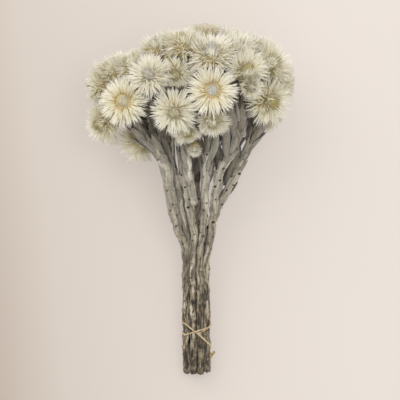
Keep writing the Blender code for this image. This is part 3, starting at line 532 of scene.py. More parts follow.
def grow_net(heads):
    """Lays out every stem from its cut end to its heads: its nodes, and the chains of them."""
    nodes, chains = [], []

    def add(*row, **more):
        nodes.append(Node(*row, **more))
        return len(nodes) - 1

    for number, stem in enumerate(STEMS):
        own = [(k, head) for k, head in enumerate(heads) if head.stem == stem.name]
        trunk = []
        if stem.row is None:
            route = smooth_route([vec(*p) for p in stem.route], NODE_STEP)
        else:
            for y in (CUT_Y + stem.cut, *BUNDLE_STATIONS):
                trunk.append(add(slot(stem, y), stem.thick, number, pinned=True))
            leave, before = slot(stem, BUNDLE_TOP_Y), slot(stem, BUNDLE_TOP_Y - 6)
            if stem.route:
                route = smooth_route([before, leave] + [vec(*p) for p in stem.route], NODE_STEP)
                route = route[route[:, 1] > BUNDLE_TOP_Y + 1.5]
            else:
                middle = sum(head.base() for _, head in own) / len(own)
                crown = leave + 0.5 * (middle - leave)
                heading = unit(leave - before)
                route = bent_route(leave, heading, crown, unit(middle - leave))
        for k, place in enumerate(route):
            share = min(1.0, (k + 1) / (0.5 * len(route)))
            thick = stem.thick + (stem.spread - stem.thick) * share
            trunk.append(add(place, thick, number, stem.hold))
        for order, (k, head) in enumerate(own):
            fork_at = len(trunk) - 1 - order * FORK_STEP
            fork = nodes[trunk[fork_at]]
            heading = unit(fork.place - nodes[trunk[fork_at - 2]].place)
            end = head.base() - head.axis * GAP
            turned = end - head.axis * NECK_STRETCH
            way = [*bent_route(fork.place, heading, turned, head.axis), end]
            twig = []
            first = fork.thick * 0.8 if order == 0 else TWIG_RADIUS[0]
            for m, place in enumerate(way):
                share = (m + 1) / len(way)
                thick = first + (TWIG_RADIUS[1] - first) * min(1.0, 1.3 * share)
                last = m >= len(way) - 2
                twig.append(add(place, thick, number, TWIG_HOLD, last, k))
            chains.append((number, (trunk if order == 0 else [trunk[fork_at]]) + twig))
    return nodes, chains


def relax(nodes, chains, heads):
    """Moves the nodes until stems clear each other, the heads' cores and the surface. Gives each
    node's place and radius."""
    place, thick, stem, hold, pinned, own_head = (np.array(column) for column in zip(*nodes))
    begin = place.copy()
    need = thick[:, None] + thick[None] + CLEARANCE
    far = norm(place[:, None] - place[None], axis=2)
    kin = (stem[:, None] == stem[None]) & (far < need + KIN)
    need = np.where(kin, 0.0, need)
    inner = np.array([run for _, chain in chains for run in zip(chain, chain[1:], chain[2:])])
    tops = np.array([head.disc for head in heads])
    bases = np.array([head.base() for head in heads])
    lines = bases - tops
    wide = np.array([WAIST[0] * head.radius for head in heads])
    mine = own_head[:, None] == np.arange(len(heads))[None]
    for _ in range(RELAX_STEPS):
        between = place[:, None] - place[None]
        dist = norm(between, axis=2) + 1e-9
        push = np.clip(need - dist, 0, None) * PUSH
        move = (between / dist[..., None] * push[..., None]).sum(1)
        bend = 0.5 * (place[inner[:, 0]] + place[inner[:, 2]]) - place[inner[:, 1]]
        np.add.at(move, inner[:, 1], STIFFNESS * bend)
        move += hold[:, None] * (begin - place)
        offset = place[:, None] - tops[None]
        along = np.clip((offset * lines[None]).sum(2) / (lines**2).sum(1)[None], 0, 1)
        away = offset - along[..., None] * lines[None]
        gone = norm(away, axis=2) + 1e-9
        core = wide[None] * (1 - along) + NECK_RADIUS * along
        lack = np.clip(core + thick[:, None] + CLEARANCE - gone, 0, None)
        near_end = norm(place[:, None] - bases[None], axis=2) < REACH_OF_NECK
        lack[mine & near_end] = 0.0
        move += (away / gone[..., None] * (CORE_PUSH * lack)[..., None]).sum(1)
        move[:, 2] += CORE_PUSH * np.clip(thick + GAP - place[:, 2], 0, None)
        size = norm(move, axis=1)[:, None] + 1e-9
        move *= np.minimum(size, LONGEST_MOVE) / size
        move[pinned] = 0.0
        place += move
    return np.column_stack([place, thick])


def loop_points(y_middle, slope, bend):
    """Centre line of one turn of the tie, drawn tight round the bundle."""
    points = []
    bundle = [(slot(stem, y_middle), stem.thick + GAP + STRAND_RADIUS)
              for stem in STEMS if stem.row is not None]
    for k in range(LOOP_POINTS):
        angle = CIRCLE * (k + 0.5) / LOOP_POINTS
        normal = vec(cos(angle), 0, sin(angle))
        centre, reach = max(bundle, key=lambda one: one[0] @ normal + one[1])
        spot = centre + normal * reach
        across = spot[0] - KNOT[0]
        y = y_middle + slope * across + bend * across**2
        points.append(spot + vec(0, y - y_middle, lift(y) - lift(y_middle)))
    return points


def put(name, data, place=(0, 0, 0)):
    """A new object of the scene, its place in metres."""
    made = bpy.data.objects.new(name, data)
    made.location = place
    bpy.context.scene.collection.objects.link(made)
    return made


class Piece:
    """Points, faces and looks, gathered shape by shape for one object of the scene."""

    def __init__(self, name):
        self.name = name
        self.points, self.looks, self.skins = [], [], []
        self.faces, self.slots = [], []
        self.count = 0

    def add(self, points, faces, look, skin, slot=0):
        """A shape in millimetres. Each point has a look, three numbers that its material reads,
        and a skin, its place on the unrolled surface in millimetres."""
        self.points.append(points)
        self.looks.append(look)
        self.skins.append(skin)
        self.faces += [tuple(self.count + corner for corner in face) for face in faces]
        self.slots += [slot] * len(faces)
        self.count += len(points)

    def make(self, materials, replaced=None):
        mesh = bpy.data.meshes.new(self.name)
        mesh.from_pydata(np.concatenate(self.points) * MM, [], self.faces)
        for name, values in (("look", self.looks), ("skin", self.skins)):
            layer = mesh.attributes.new(name, "FLOAT_VECTOR", "POINT")
            layer.data.foreach_set("vector", np.concatenate(values).astype(np.float32).ravel())
        for one in materials:
            mesh.materials.append(one)
        mesh.polygons.foreach_set("material_index", self.slots)
        mesh.shade_smooth()
        made = put(self.name, mesh)
        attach(made, "root")
        if replaced:
            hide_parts(replaced)


def grid_faces(rows, across, closed=True):
    """Faces between rows of points. Closed rows run round to their first point."""
    faces = []
    for r in range(rows - 1):
        for c in range(across if closed else across - 1):
            a, b = r * across + c, r * across + (c + 1) % across
            faces.append((a, b, b + across, a + across))
    return faces


def tube_faces(rings, columns, first=True, last=True):
    """Faces of a tube, and of its two ends."""
    corners = list(range(rings * columns))
    ends = [tuple(corners[:columns][::-1])] * first + [tuple(corners[-columns:])] * last
    return grid_faces(rings, columns) + ends


# A bract has three points in each row, and one at its tip
TIP = 3 * (len(BRACT_STATIONS) - 1)
BRACT_FACES = grid_faces(TIP // 3, 3, False) + [(TIP - 3, TIP - 2, TIP), (TIP - 2, TIP - 1, TIP)]
# A leaf's rows have four points: edge, outside, edge, inside
LEAF_FACES = tube_faces(len(LEAF_STATIONS), 4, last=False)


def add_bract(piece, course, side, upward, width, roll, look):
    """One papery bract along a bend from its start to its tip, channelled towards the axis.
    The look holds where its colours start, how far they run on, and its tone."""
    start, bend, tip = course
    t = BRACT_STATIONS[:, None]
    line = (1 - t) ** 2 * start + 2 * t * (1 - t) * bend + t**2 * tip
    way = (1 - t) * (bend - start) + t * (tip - bend)
    way /= norm(way, axis=1)[:, None] + 1e-9
    flat = swing(side, np.cross(way, side), roll)
    face = np.cross(flat, way)
    face *= np.sign(face @ upward + 1e-6)[:, None]
    half = 0.5 * width * BRACT_WIDTHS[:, None]
    lifted = line + BRACT_CUP * half * face
    rows = np.stack([lifted - flat * half, line, lifted + flat * half], axis=1)
    points = np.concatenate([rows[:-1].reshape(-1, 3), line[-1:]])
    along = np.append(np.repeat(BRACT_STATIONS[:-1], 3), 1.0)
    across = np.append(np.tile((-1.0, 0.0, 1.0), len(t) - 1), 0.0)
    tone = np.full(len(along), look[2])
    looks = np.stack([look[0] + look[1] * along, tone, across], axis=1)
    length = norm(tip - start)
    skins = np.stack([across * 0.5 * width, along * length, SKIN_SHIFT * tone], axis=1)
    piece.add(points, BRACT_FACES, looks, skins)


def stem_tree():
    """A search tree over the solid stems, in millimetres."""
    points, faces = [], []
    for name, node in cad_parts.items():
        if not name.startswith("stem"):
            continue
        base = len(points)
        points += [node.matrix_world @ v.co / MM for v in node.data.vertices]
        faces += [tuple(base + c for c in face.vertices) for face in node.data.polygons]
    return BVHTree.FromPolygons(points, faces)


def bract_reach(head, centre, direction, full, walls, tree):
    """How long a bract may be this way: the box stops it, a stem does, and a neighbour nearly."""
    others = (walls[0][BOX_WALLS:], walls[1][BOX_WALLS:])
    reach = min(full, free_length(centre, direction, box_of(walls)))
    if len(others[1]) and (others[0] @ direction > 1e-6).any():
        crossing = CROSSING[head.radius < LARGE_HEAD]
        reach = min(reach, crossing * free_length(centre, direction, others))
    rim = 0.4 * head.radius
    hit = tree.ray_cast(Vector(centre + direction * rim), Vector(direction), max(reach - rim, 0.1))
    if hit[3] is not None:
        reach = max(rim + 0.95 * hit[3], min(reach, SHORTEST_BRACT * head.radius))
    return reach


def add_bracts(piece, head, walls, tree, rng):
    """The papery bracts, in a spiral from the disc to the outermost ones."""
    radius = head.radius
    centre = head.disc + head.axis * BRACT_CENTRE * radius
    bottom = opened(LOWEST_RISE, head)
    rises, first = head.style.rises, head.style.first
    ways = compass(WAYS_ROUND)
    lowest = [lowest_rise(head, centre, angle, walls) for angle in ways]
    turned = rng.uniform(0, CIRCLE)
    for k in range(BRACTS):
        u = (k + 0.5) / BRACTS
        angle = k * GOLDEN_TURN + rng.gauss(0, 0.05)
        low = np.interp(angle % CIRCLE, np.append(ways, CIRCLE), lowest + lowest[:1])
        rise = opened(rises[0] + (rises[1] - rises[0]) * u**0.7, head)
        if rng.random() < STRAYS[0] * min(1.0, 3 * u):
            rise += rng.gauss(0, STRAYS[1])
        share = (STEEPEST - low) / (STEEPEST - bottom)
        lifted = low + (rise - bottom) * share + rng.gauss(0, BRACT_SPREAD)
        heading = angle + sum(much * sin(many * (angle + turned)) for many, much in TUFTS)
        direction = leaning(head, heading, lifted)
        full = radius * np.interp(u, *BRACT_REACH) * rng.uniform(*BRACT_LENGTHS)
        reach = bract_reach(head, centre, direction, full, walls, tree)
        out = np.interp(u, SEAT_SHARES, (head.style.seat, *SEATS_OUT))
        along = np.interp(u, SEAT_SHARES, SEATS_ALONG)
        start = head.around(angle, out * radius, along * radius)
        tip = centre + direction * reach
        side = leaning(head, angle + 0.5 * pi, 0)
        steep = BEND[0] * norm(tip - start)
        bend = start + steep * leaning(head, angle, min(lifted + BEND[1], BEND[2]))
        bend = bend + side * rng.gauss(0, BRACT_LEAN) * reach * 0.5
        tip = tip + side * rng.gauss(0, BRACT_LEAN) * reach * 0.5
        tip = tip + min(0.0, free_length(tip, unit(tip - bend), box_of(walls)))
        width = radius * rng.uniform(*BRACT_WIDTH)
        tone = OWN_TONE * head.tone + (1 - OWN_TONE) * rng.random() ** 1.5
        add_bract(piece, (start, bend, tip), side, head.axis, width,
                  rng.gauss(0, BRACT_ROLL), (first, 1.0 - first, tone))


def add_scales(piece, head, rng):
    """Short papery scales that lie on the involucre from its waist down to the neck."""
    radius, depth = head.radius, head.depth()
    for k in range(SCALES):
        u = (k + 0.5) / SCALES
        angle = k * GOLDEN_TURN
        out = (1 - u) * SCALE_FOOT[0] * radius + u * (NECK_RADIUS + 0.1)
        along = -SCALE_FOOT[1] * radius + u * (SCALE_FOOT[1] * radius - depth)
        start = head.around(angle, out, along)
        length = radius * (SCALE_SIZE[0] - SCALE_SIZE[1] * u) * rng.uniform(0.85, 1.1)
        side = leaning(head, angle + 0.5 * pi, 0)
        low, high, spread = SCALE_RISES
        bend = start + 0.5 * length * leaning(head, angle, low)
        tip = bend + 0.5 * length * leaning(head, angle, high + rng.gauss(0, spread))
        add_bract(piece, (start, bend, tip), side, head.axis, SCALE_SIZE[2] * radius,
                  rng.gauss(0, 0.2), (0.12, 0.6, 0.5 * head.tone + 0.5 * rng.random()))


def add_cup(piece, head, profile, look, slot):
    """A turned shape on a head's axis. Each ring of its profile lies so far out and along it."""
    turns = compass(CORE_COLUMNS)
    points = [head.around(turn, *ring) for ring in profile for turn in turns]
    faces = tube_faces(len(profile), CORE_COLUMNS, first=slot == INVOLUCRE)
    piece.add(points, faces, [look] * len(points), points - head.disc, slot)


def add_cups(piece, head):
    """The involucre under the bracts, and the pale cushion that the florets stand on."""
    radius, style = head.radius, head.style
    profile = [(out * radius, along * radius) for out, along in CORE]
    add_cup(piece, head, profile + [(NECK_RADIUS, -head.depth())], (0.1, 0.5, 0.0), INVOLUCRE)
    bows = [(cos(bow), sin(bow)) for bow in np.linspace(0, 0.45 * pi, HEART_RINGS)]
    profile = [(style.heart_width * c * radius, (style.heart * s - 0.04) * radius) for c, s in bows]
    add_cup(piece, head, profile, (0.8, head.tone, 0.2), FLUFF)


def add_florets(piece, head, walls, rng):
    """The fluffy disc: small pointed florets in a spiral."""
    radius = head.radius
    style = head.style
    for k in range(FLORETS):
        share = (k + 0.5) / FLORETS
        angle = k * GOLDEN_TURN
        out = style.disc * radius * sqrt(share)
        foot = head.around(angle, out, radius * (0.75 * style.heart * (1 - share) - 0.02))
        turned = angle + rng.gauss(0, 0.8)
        lean = leaning(head, turned, FLORET_RISE[0] - FLORET_RISE[1] * share
                       + rng.gauss(0, FLORET_RISE[2]))
        room = max(free_length(foot, lean, box_of(walls)), GAP)
        height = min(radius * rng.uniform(*style.floret), room)
        ring = [foot + FLORET_RADIUS * radius * swing(*across_pair(lean), a) for a in (0, 2.1, 4.2)]
        points = ring + [foot + lean * height]
        tint = min(max(head.tone + rng.gauss(0, FLORET_TINTS), 0.0), 1.0)
        look = [(0.0, tint, share)] * 3 + [(1.0, tint, share)]
        piece.add(points, ((0, 1, 3), (1, 2, 3), (2, 0, 3)), look, points - head.disc, FLUFF)


def dress_heads(heads, materials):
    """One piece for each head: bracts, involucre and fluffy disc."""
    tree = stem_tree()
    for head in heads:
        rng = random.Random(f"{SEED} bracts {head.name}")
        head.tone = TONES.get(head.name, rng.random())
        head.style = OPEN_STYLE if head.name in OPEN_HEADS else CLOSED_STYLE
        walls = limits(head, heads)
        piece = Piece(head.name.replace("bloom", "everlasting"))
        add_bracts(piece, head, walls, tree, rng)
        add_scales(piece, head, rng)
        add_cups(piece, head)
        add_florets(piece, head, walls, rng)
        piece.make(materials, head.name)


def dense_line(rows):
    """A finer line of places with their radii."""
    return smooth_route(list(even_steps(rows, NODE_STEP)), BARK_STEP)


def frames(ways):
    """Each way along a line, with two directions square to it that don't spin about it."""
    normal = vec(0, 0, 1)
    for way in ways:
        way = unit(way)
        normal = unit(normal - way * (normal @ way))
        yield way, normal, np.cross(way, normal)


def rough(*place):
    """Smooth noise at a place, between -1 and 1."""
    return noise.noise(Vector(place))


def scar_places(length, rng):
    """Where the leaf scars lie: how far along the stem, at what angle, and how large and deep."""
    return [((k + 0.5) * SCAR_STEP + rng.uniform(-1.3, 1.3), k * GOLDEN_TURN + rng.gauss(0, 0.3),
             rng.uniform(0.55, 1.25), rng.uniform(0.2, 1.5))
            for k in range(int(length / SCAR_STEP))]


def scar_marks(s, angles, radius, scars):
    """For each angle of the ring at s, how much of a scar and of its shelf is there."""
    mark, shelf = np.zeros(len(angles)), np.zeros(len(angles))
    for place, turn, size, depth in scars:
        if abs(s - place) > 3:
            continue
        wide = np.abs((angles - turn + pi) % CIRCLE - pi) * radius
        wide /= SCAR[0] * size
        mark += depth * np.exp(-wide**2 - ((s - place) / SCAR[1]) ** 2)
        shelf += np.exp(-0.6 * wide**2 - ((s - place + 1.0) / 0.9) ** 2)
    return mark, shelf


def add_bark(piece, line, sides, seed, opening):
    """The skin of a stem or twig: a tube with knots, flutes, plates and leaf scars."""
    rng = random.Random(f"{SEED} bark {piece.name} {seed}")
    places, radii = line[:, :3].copy(), line[:, 3]
    astray, stretch = BARK_WANDER
    for k in range(1, len(places)):
        s = k * BARK_STEP / stretch
        ease = min(1.0, k / 12, (len(places) - 1 - k) / 12) * astray * radii[k] / STEM_RADIUS
        places[k, 0] += ease * rough(s, seed, 3.3)
        places[k, 2] += ease * rough(s, seed, 7.7)
    scars = scar_places(BARK_STEP * len(line), rng)
    angles = compass(sides)
    ways = np.gradient(places, axis=0)
    if opening is not None:
        ways[0] = opening
    points, looks, skins = [], [], []
    for k, (place, (way, normal, side)) in enumerate(zip(places, frames(ways))):
        s = k * BARK_STEP
        older = (BARK_AGE[0] - place[1]) / (BARK_AGE[0] - BARK_AGE[1])
        age = min(max(older, 0.0), 1.0)
        mark, shelf = scar_marks(s, angles, radii[k], scars)
        for m, angle in enumerate(angles):
            c, d = cos(angle), sin(angle)
            knots = KNOTS[0] * rough(seed, KNOTS[1] * s, 0)
            flutes = FLUTES[0] * rough(FLUTES[1] * c + seed, FLUTES[1] * d, FLUTES[2] * s)
            crack = rough(CRACKS[1] * c, CRACKS[1] * d + seed, CRACKS[2] * s) / CRACK_WIDTH
            plates = PLATES[0] * rough(PLATES[1] * c, PLATES[1] * d + seed, PLATES[2] * s)
            plates = (0.25 + 0.75 * age) * (plates - CRACKS[0] * max(1 - abs(crack), 0.0))
            relief = 0.3 * knots + flutes + plates
            radius = radii[k] * (1 + knots + flutes + plates)
            radius += SCAR_SHELF * min(shelf[m], 1.0) - 0.15 * min(mark[m], 1.0)
            torn = 0.0
            if opening is not None and k < RAGGED_RINGS:
                torn = RAGGED * rough(2 * c, 2 * d, seed) * (1 - k / RAGGED_RINGS)
            point = place + radius * (c * normal + d * side) + abs(torn) * way
            point[2] = max(point[2], 0.0)
            points.append(point)
            looks.append((older, mark[m] * (1 - 0.6 * age), 0.5 + 2.5 * relief))
            skins.append((radii[k] * c, radii[k] * d, s))
    faces = tube_faces(len(places), sides, last=False)
    piece.add(points, faces, looks, np.array(skins) + 31.0 * seed)


def add_leaf(piece, seat, length, width, lean, dry_and_shade, rng):
    """A felted lance-shaped leaf that lies against its stem, its edges turned towards it.
    Its seat is a place on the stem, the stem's way and the way out of it."""
    root, way, out = seat
    direction = unit(way + lean * out)
    outward = unit(out - direction * (out @ direction))
    side = np.cross(direction, outward)
    sway = rng.gauss(0, 0.05) * length
    t = LEAF_STATIONS[:, None]
    bow = (rng.uniform(-0.12, 0.04) - 0.3 * lean) * length
    centre = root + direction * length * t + outward * bow * t**2 + side * sway * t**2
    half = 0.5 * width * LEAF_WIDTHS[:, None]
    cupped = centre - outward * 0.55 * half
    thick = 0.5 * LEAF_THICKNESS * (1.1 - t)
    rows = np.stack([cupped - side * half, centre + outward * thick,
                     cupped + side * half, centre - outward * thick], axis=1)
    points = rows.reshape(-1, 3)
    along = np.repeat(LEAF_STATIONS, 4)
    across = np.tile((-1.0, 0.0, 1.0, 0.0), len(t))
    looks = np.stack([along, np.full(len(along), dry_and_shade), across], axis=1)
    apart = np.full(len(along), rng.uniform(0, 99))
    skins = np.stack([across * 0.5 * width, along * length, apart], axis=1)
    piece.add(points, LEAF_FACES, looks, skins)


def add_leaves(piece, line, row_shade, rng):
    """Leaves in a spiral along the upper part of a stem or twig."""
    stride = round(LEAF_STEP / BARK_STEP)
    turn = rng.uniform(0, 6.28)
    for k in range(stride, len(line) - 2 * stride, stride):
        place, radius = line[k, :3], line[k, 3]
        turn += GOLDEN_TURN + rng.gauss(0, 0.15)
        dense = np.interp(place[1], FIRST_LEAF_Y, (0.0, 1.0))
        if rng.random() > dense:
            continue
        way = unit(line[k + 1, :3] - line[k - 1, :3])
        one, two = across_pair(way)
        out = swing(one, two, turn)
        left = (len(line) - k) * BARK_STEP
        length = min(rng.uniform(*LEAF_LENGTH), left + 4)
        root = place + out * 0.95 * radius
        tip = root + (way + 0.5 * LEAF_LEAN[1] * out) * length
        if not LEAF_MARGIN < tip[2] < HEIGHT - TOP_MARGIN:
            continue
        if abs(tip[0]) > 0.5 * WIDTH - LEAF_MARGIN or tip[1] > 0.5 * LENGTH - LEAF_MARGIN:
            continue
        lean = LEAF_LEAN[0] + LEAF_LEAN[1] * rng.random() * np.interp(place[1], LEAF_LEAN_Y, (0, 1))
        # Dry brown and painted shade towards the heads; the row adds more painted shade
        dry_and_shade = np.interp(place[1], DRY_AND_SHADED_LEAF_Y, (0.3, 1.0)) * rng.uniform(0.2, 1.0)
        add_leaf(piece, (root, way, out), length, rng.uniform(*LEAF_WIDTH), lean,
                 min(dry_and_shade + row_shade * rng.uniform(0.6, 1.0), 1.0), rng)


def dress_stems(rows, chains, felt, leaf_felt):
    """Two pieces for each stem: its bark, and its leaves."""
    for number, stem in enumerate(STEMS):
        bark = Piece(stem.name.replace("stem", "bark"))
        leaves = Piece(stem.name.replace("stem", "leaves"))
        rng = random.Random(f"{SEED} leaves of {stem.name}")
        own = [chain for owner, chain in chains if owner == number]
        for order, chain in enumerate(own):
            line = dense_line(rows[chain])
            if order == 0 and stem.row is None:
                line[:3, 3] *= HEEL
            opening = vec(0, 1, 0) if order == 0 and stem.row is not None else None
            add_bark(bark, line, BARK_SIDES[order > 0], 7 * number + order, opening)
            add_leaves(leaves, line, ROW_PAINTED_SHADE[stem.row], rng)
        for owner, root, tip, width in BROAD_LEAVES:
            if owner == stem.name:
                run = vec(*tip) - vec(*root)
                seat = (vec(*root), unit(run), vec(0, 0, 1))
                add_leaf(leaves, seat, norm(run), width, *BROAD_LOOK, rng)
        bark.make([felt], stem.name)
        leaves.make([leaf_felt])


def closed_line(points, step):
    """Even steps along a smooth closed curve through points."""
    fine = smooth_route(list(points[-3:]) + list(points) + list(points[:3]), step)
    gone = norm(fine - points[0], axis=1)
    half = len(fine) // 2
    return fine[np.argmin(gone[:half]):half + np.argmin(gone[half:])]


def add_strand(piece, line, radius, closed, seed):
    """A raffia strand: a flat, twisted and grooved tube along a line."""
    count = len(line)
    length = count * norm(line[1] - line[0])
    turns = max(1, round(length / 30))
    ways = np.roll(line, -1, 0) - np.roll(line, 1, 0) if closed else np.gradient(line, axis=0)
    points, looks, skins = [], [], []
    for k, (place, (_, normal, side)) in enumerate(zip(line, frames(ways))):
        twist = CIRCLE * turns * k / count
        taper = 1.0 if closed else min(1.0, 0.35 + 0.25 * (count - 1 - k))
        for angle in compass(STRAND_SIDES):
            groove = 1 + 0.12 * cos(5 * angle + seed)
            wide = radius * groove * taper
            c, d = cos(angle), sin(angle)
            u, v = wide * 1.15 * c, wide * 0.75 * d
            across = u * cos(twist) - v * sin(twist)
            deep = u * sin(twist) + v * cos(twist)
            points.append(place + across * side + deep * normal)
            looks.append((k / count, groove - 0.88, seed % 1))
            skins.append((angle * radius, 0.7 * k, seed))
    faces = tube_faces(count, STRAND_SIDES, not closed, not closed)
    if closed:
        ring = [(m, (m + 1) % STRAND_SIDES) for m in range(STRAND_SIDES)]
        base = (count - 1) * STRAND_SIDES
        faces += [(base + a, base + b, b, a) for a, b in ring]
    piece.add(points, faces, looks, skins)


def dress_tie(raffia):
    """Two turns of raffia, the knot where they cross, and its loose ends."""
    piece = Piece("raffia_tie")
    for seed, (slope, bend) in enumerate(LOOPS):
        line = closed_line(loop_points(KNOT[1], slope, bend), TIE_STEP)
        add_strand(piece, line, STRAND_RADIUS * STRAND_WEAR, True, 0.37 + seed)
    height = slot(STEMS[2], KNOT[1])[2] + STEM_RADIUS + STRAND_RADIUS
    knot = vec(KNOT[0], KNOT[1], height + 0.5)
    t = np.linspace(0, CIRCLE, 60, endpoint=False)
    trefoil = np.stack([np.sin(t) + 2 * np.sin(2 * t), np.cos(t) - 2 * np.cos(2 * t),
                        -0.9 * np.sin(3 * t)], axis=1)
    add_strand(piece, knot + trefoil * KNOT_SIZE[0], KNOT_SIZE[1], True, 2.6)
    for seed, end in enumerate(KNOT_ENDS):
        route = [knot + vec(*p) for p in end]
        add_strand(piece, smooth_route(route, TIE_STEP), KNOT_SIZE[2], False, 3.3 + seed)
    piece.make([raffia], "tie")


def dress_stub(young):
    """The broken twig at the right of the cut ends."""
    piece = Piece("twig_stub")
    stem = STEMS[3]
    foot = slot(stem, STUB_Y)
    for seed, (near, far, thick) in enumerate(STUB_TWIGS):
        route = [foot + vec(1.2, -1.0, 0.6), foot + vec(*near), foot + vec(*far)]
        line = smooth_route(route, BARK_STEP)
        radii = np.interp(np.arange(len(line)), (0, len(line) - 1), (thick, 0.7 * thick))
        add_bark(piece, np.column_stack([line, radii]), 10, 211 + seed, None)
    piece.make([young])


def rgb(red, green, blue):
    """A colour given as it looks on screen, 0 to 255, as the shaders want it."""
    values = (np.array((red, green, blue)) / 255.0 + 0.055) / 1.055
    return (*(values**2.4), 1.0)


class Look:
    """A material and the nodes that it is given. An input takes a value or a node's output."""

    def __init__(self, name, roughness, sheen=0.0, specular=0.5):
        self.made = bpy.data.materials.new(name)
        self.made.use_nodes = True
        self.tree = self.made.node_tree
        self.shader = self.tree.nodes["Principled BSDF"]
        self.fill(self.shader, {"Roughness": roughness, "Sheen Weight": sheen,
                                "Specular IOR Level": specular})

    def fill(self, node, inputs):
        for key, value in dict(inputs).items():
            if isinstance(value, bpy.types.NodeSocket):
                self.tree.links.new(value, node.inputs[key])
            else:
                node.inputs[key].default_value = value

    def node(self, kind, inputs=(), **settings):
        """The outputs of a new shader node."""
        made = self.tree.nodes.new("ShaderNode" + kind)
        for key, value in settings.items():
            setattr(made, key, value)
        self.fill(made, inputs)
        return made.outputs

    def numbers(self):
        """The three numbers of a piece's look."""
        look = self.node("Attribute", attribute_name="look")["Vector"]
        return self.node("SeparateXYZ", {0: look})

    def grain(self, stretch, scale, detail=3.0):
        """Noise on a piece's unrolled surface, stretched along it."""
        skin = self.node("Attribute", attribute_name="skin")["Vector"]
        placed = self.node("Mapping", {"Vector": skin, "Scale": stretch})[0]
        return self.node("TexNoise", {"Vector": placed, "Scale": scale, "Detail": detail})[0]

    def sum(self, operation, first, second=0.0, third=0.0, clamp=False):
        """The result of one sum, kept between 0 and 1 if it is clamped."""
        return self.node("Math", {0: first, 1: second, 2: third}, operation=operation,
                         use_clamp=clamp)[0]

    def scaled(self, value, by, more=0.0, clamp=False):
        """A value times another, and more."""
        return self.sum("MULTIPLY_ADD", value, by, more, clamp)

    def off(self, value, middle=0.0):
        """How far a value is from a middle one."""
        return self.sum("ABSOLUTE", self.sum("SUBTRACT", value, middle))

    def ramp(self, factor, stops, how="LINEAR"):
        """A colour that runs through the stops."""
        made = self.tree.nodes.new("ShaderNodeValToRGB")
        self.fill(made, {"Fac": factor})
        made.color_ramp.interpolation = how
        elements = made.color_ramp.elements
        while len(elements) < len(stops):
            elements.new(0.5)
        for element, (place, *colour) in zip(elements, stops):
            element.position = place
            element.color = rgb(*colour)
        return made.outputs["Color"]

    def blend(self, share, first, second, how="MIX"):
        """Two colours mixed by a share."""
        return self.node("Mix", {0: share, 6: first, 7: second}, data_type="RGBA",
                         blend_type=how)[2]

    def stain(self, share, colour, factor, stops):
        """A colour that is darkened through the stops, as far as a share says."""
        return self.blend(share, colour, self.ramp(factor, stops), "MULTIPLY")

    def finish(self, colour, height, strength, distance, glow=0.0):
        """Gives the shader its colour and a bump, its distance in metres. A glowing material also
        lets light through from behind."""
        bump = self.node("Bump", {"Height": height, "Strength": strength, "Distance": distance})
        self.fill(self.shader, {"Base Color": colour, "Normal": bump[0]})
        if glow:
            thin = self.node("BsdfTranslucent", {"Color": colour})[0]
            both = self.node("MixShader", {0: glow, 1: self.shader.outputs[0], 2: thin})
            self.fill(self.tree.nodes["Material Output"], {"Surface": both[0]})
        return self.made


def paper_look():
    """Papery bract that lets light through: golden at its base, partly its own colour and partly
    painted shade deep in the head, nearly white at its tip.
    """
    look = Look("papery_bracts", 0.42, 0.15)
    along, tone, across = look.numbers()
    pale, olive = look.ramp(along, BRACT_STOPS), look.ramp(along, OLIVE_STOPS)
    colour = look.blend(look.scaled(tone, 0.8), pale, olive)
    veins = look.grain((2.6, 0.12, 1.0), 1.6)
    colour = look.stain(0.6, colour, veins, ((0.3, 226, 220, 202), (0.62, *WHITE)))
    height = look.scaled(look.off(across), 0.5, veins)
    return look.finish(colour, height, 0.5, 0.0002, BRACT_GLOW)


def plain_look(name, dark, light):
    """One colour with specks of a darker one, for the involucres and the young twig."""
    look = Look(name, 0.7)
    speck = look.grain(EVEN, 0.9)
    colour = look.ramp(speck, ((0.3, *dark), (0.7, *light)))
    return look.finish(colour, speck, 0.6, 0.0004)


def disc_look():
    """Fluffy florets: silver grey, cream or olive as the head's tone is, with a golden rim, and
    darker at their feet as painted shade between them.
    """
    look = Look("fluffy_disc", 0.85, 0.4)
    along, tone, share = look.numbers()
    rim = look.blend(look.sum("POWER", share, 14.0), look.ramp(tone, FLUFF_STOPS),
                     rgb(216, 192, 130))
    # Painted shade at the florets' feet
    base = look.blend(0.3, rim, rgb(226, 212, 176), "MULTIPLY")
    colour = look.blend(along, base, rim)
    speck = look.grain(EVEN, 1.4)
    colour = look.stain(0.8, colour, speck, ((0.42, 200, 190, 166), (0.58, *WHITE)))
    return look.finish(colour, speck, 0.6, 0.0004, FLUFF_GLOW)


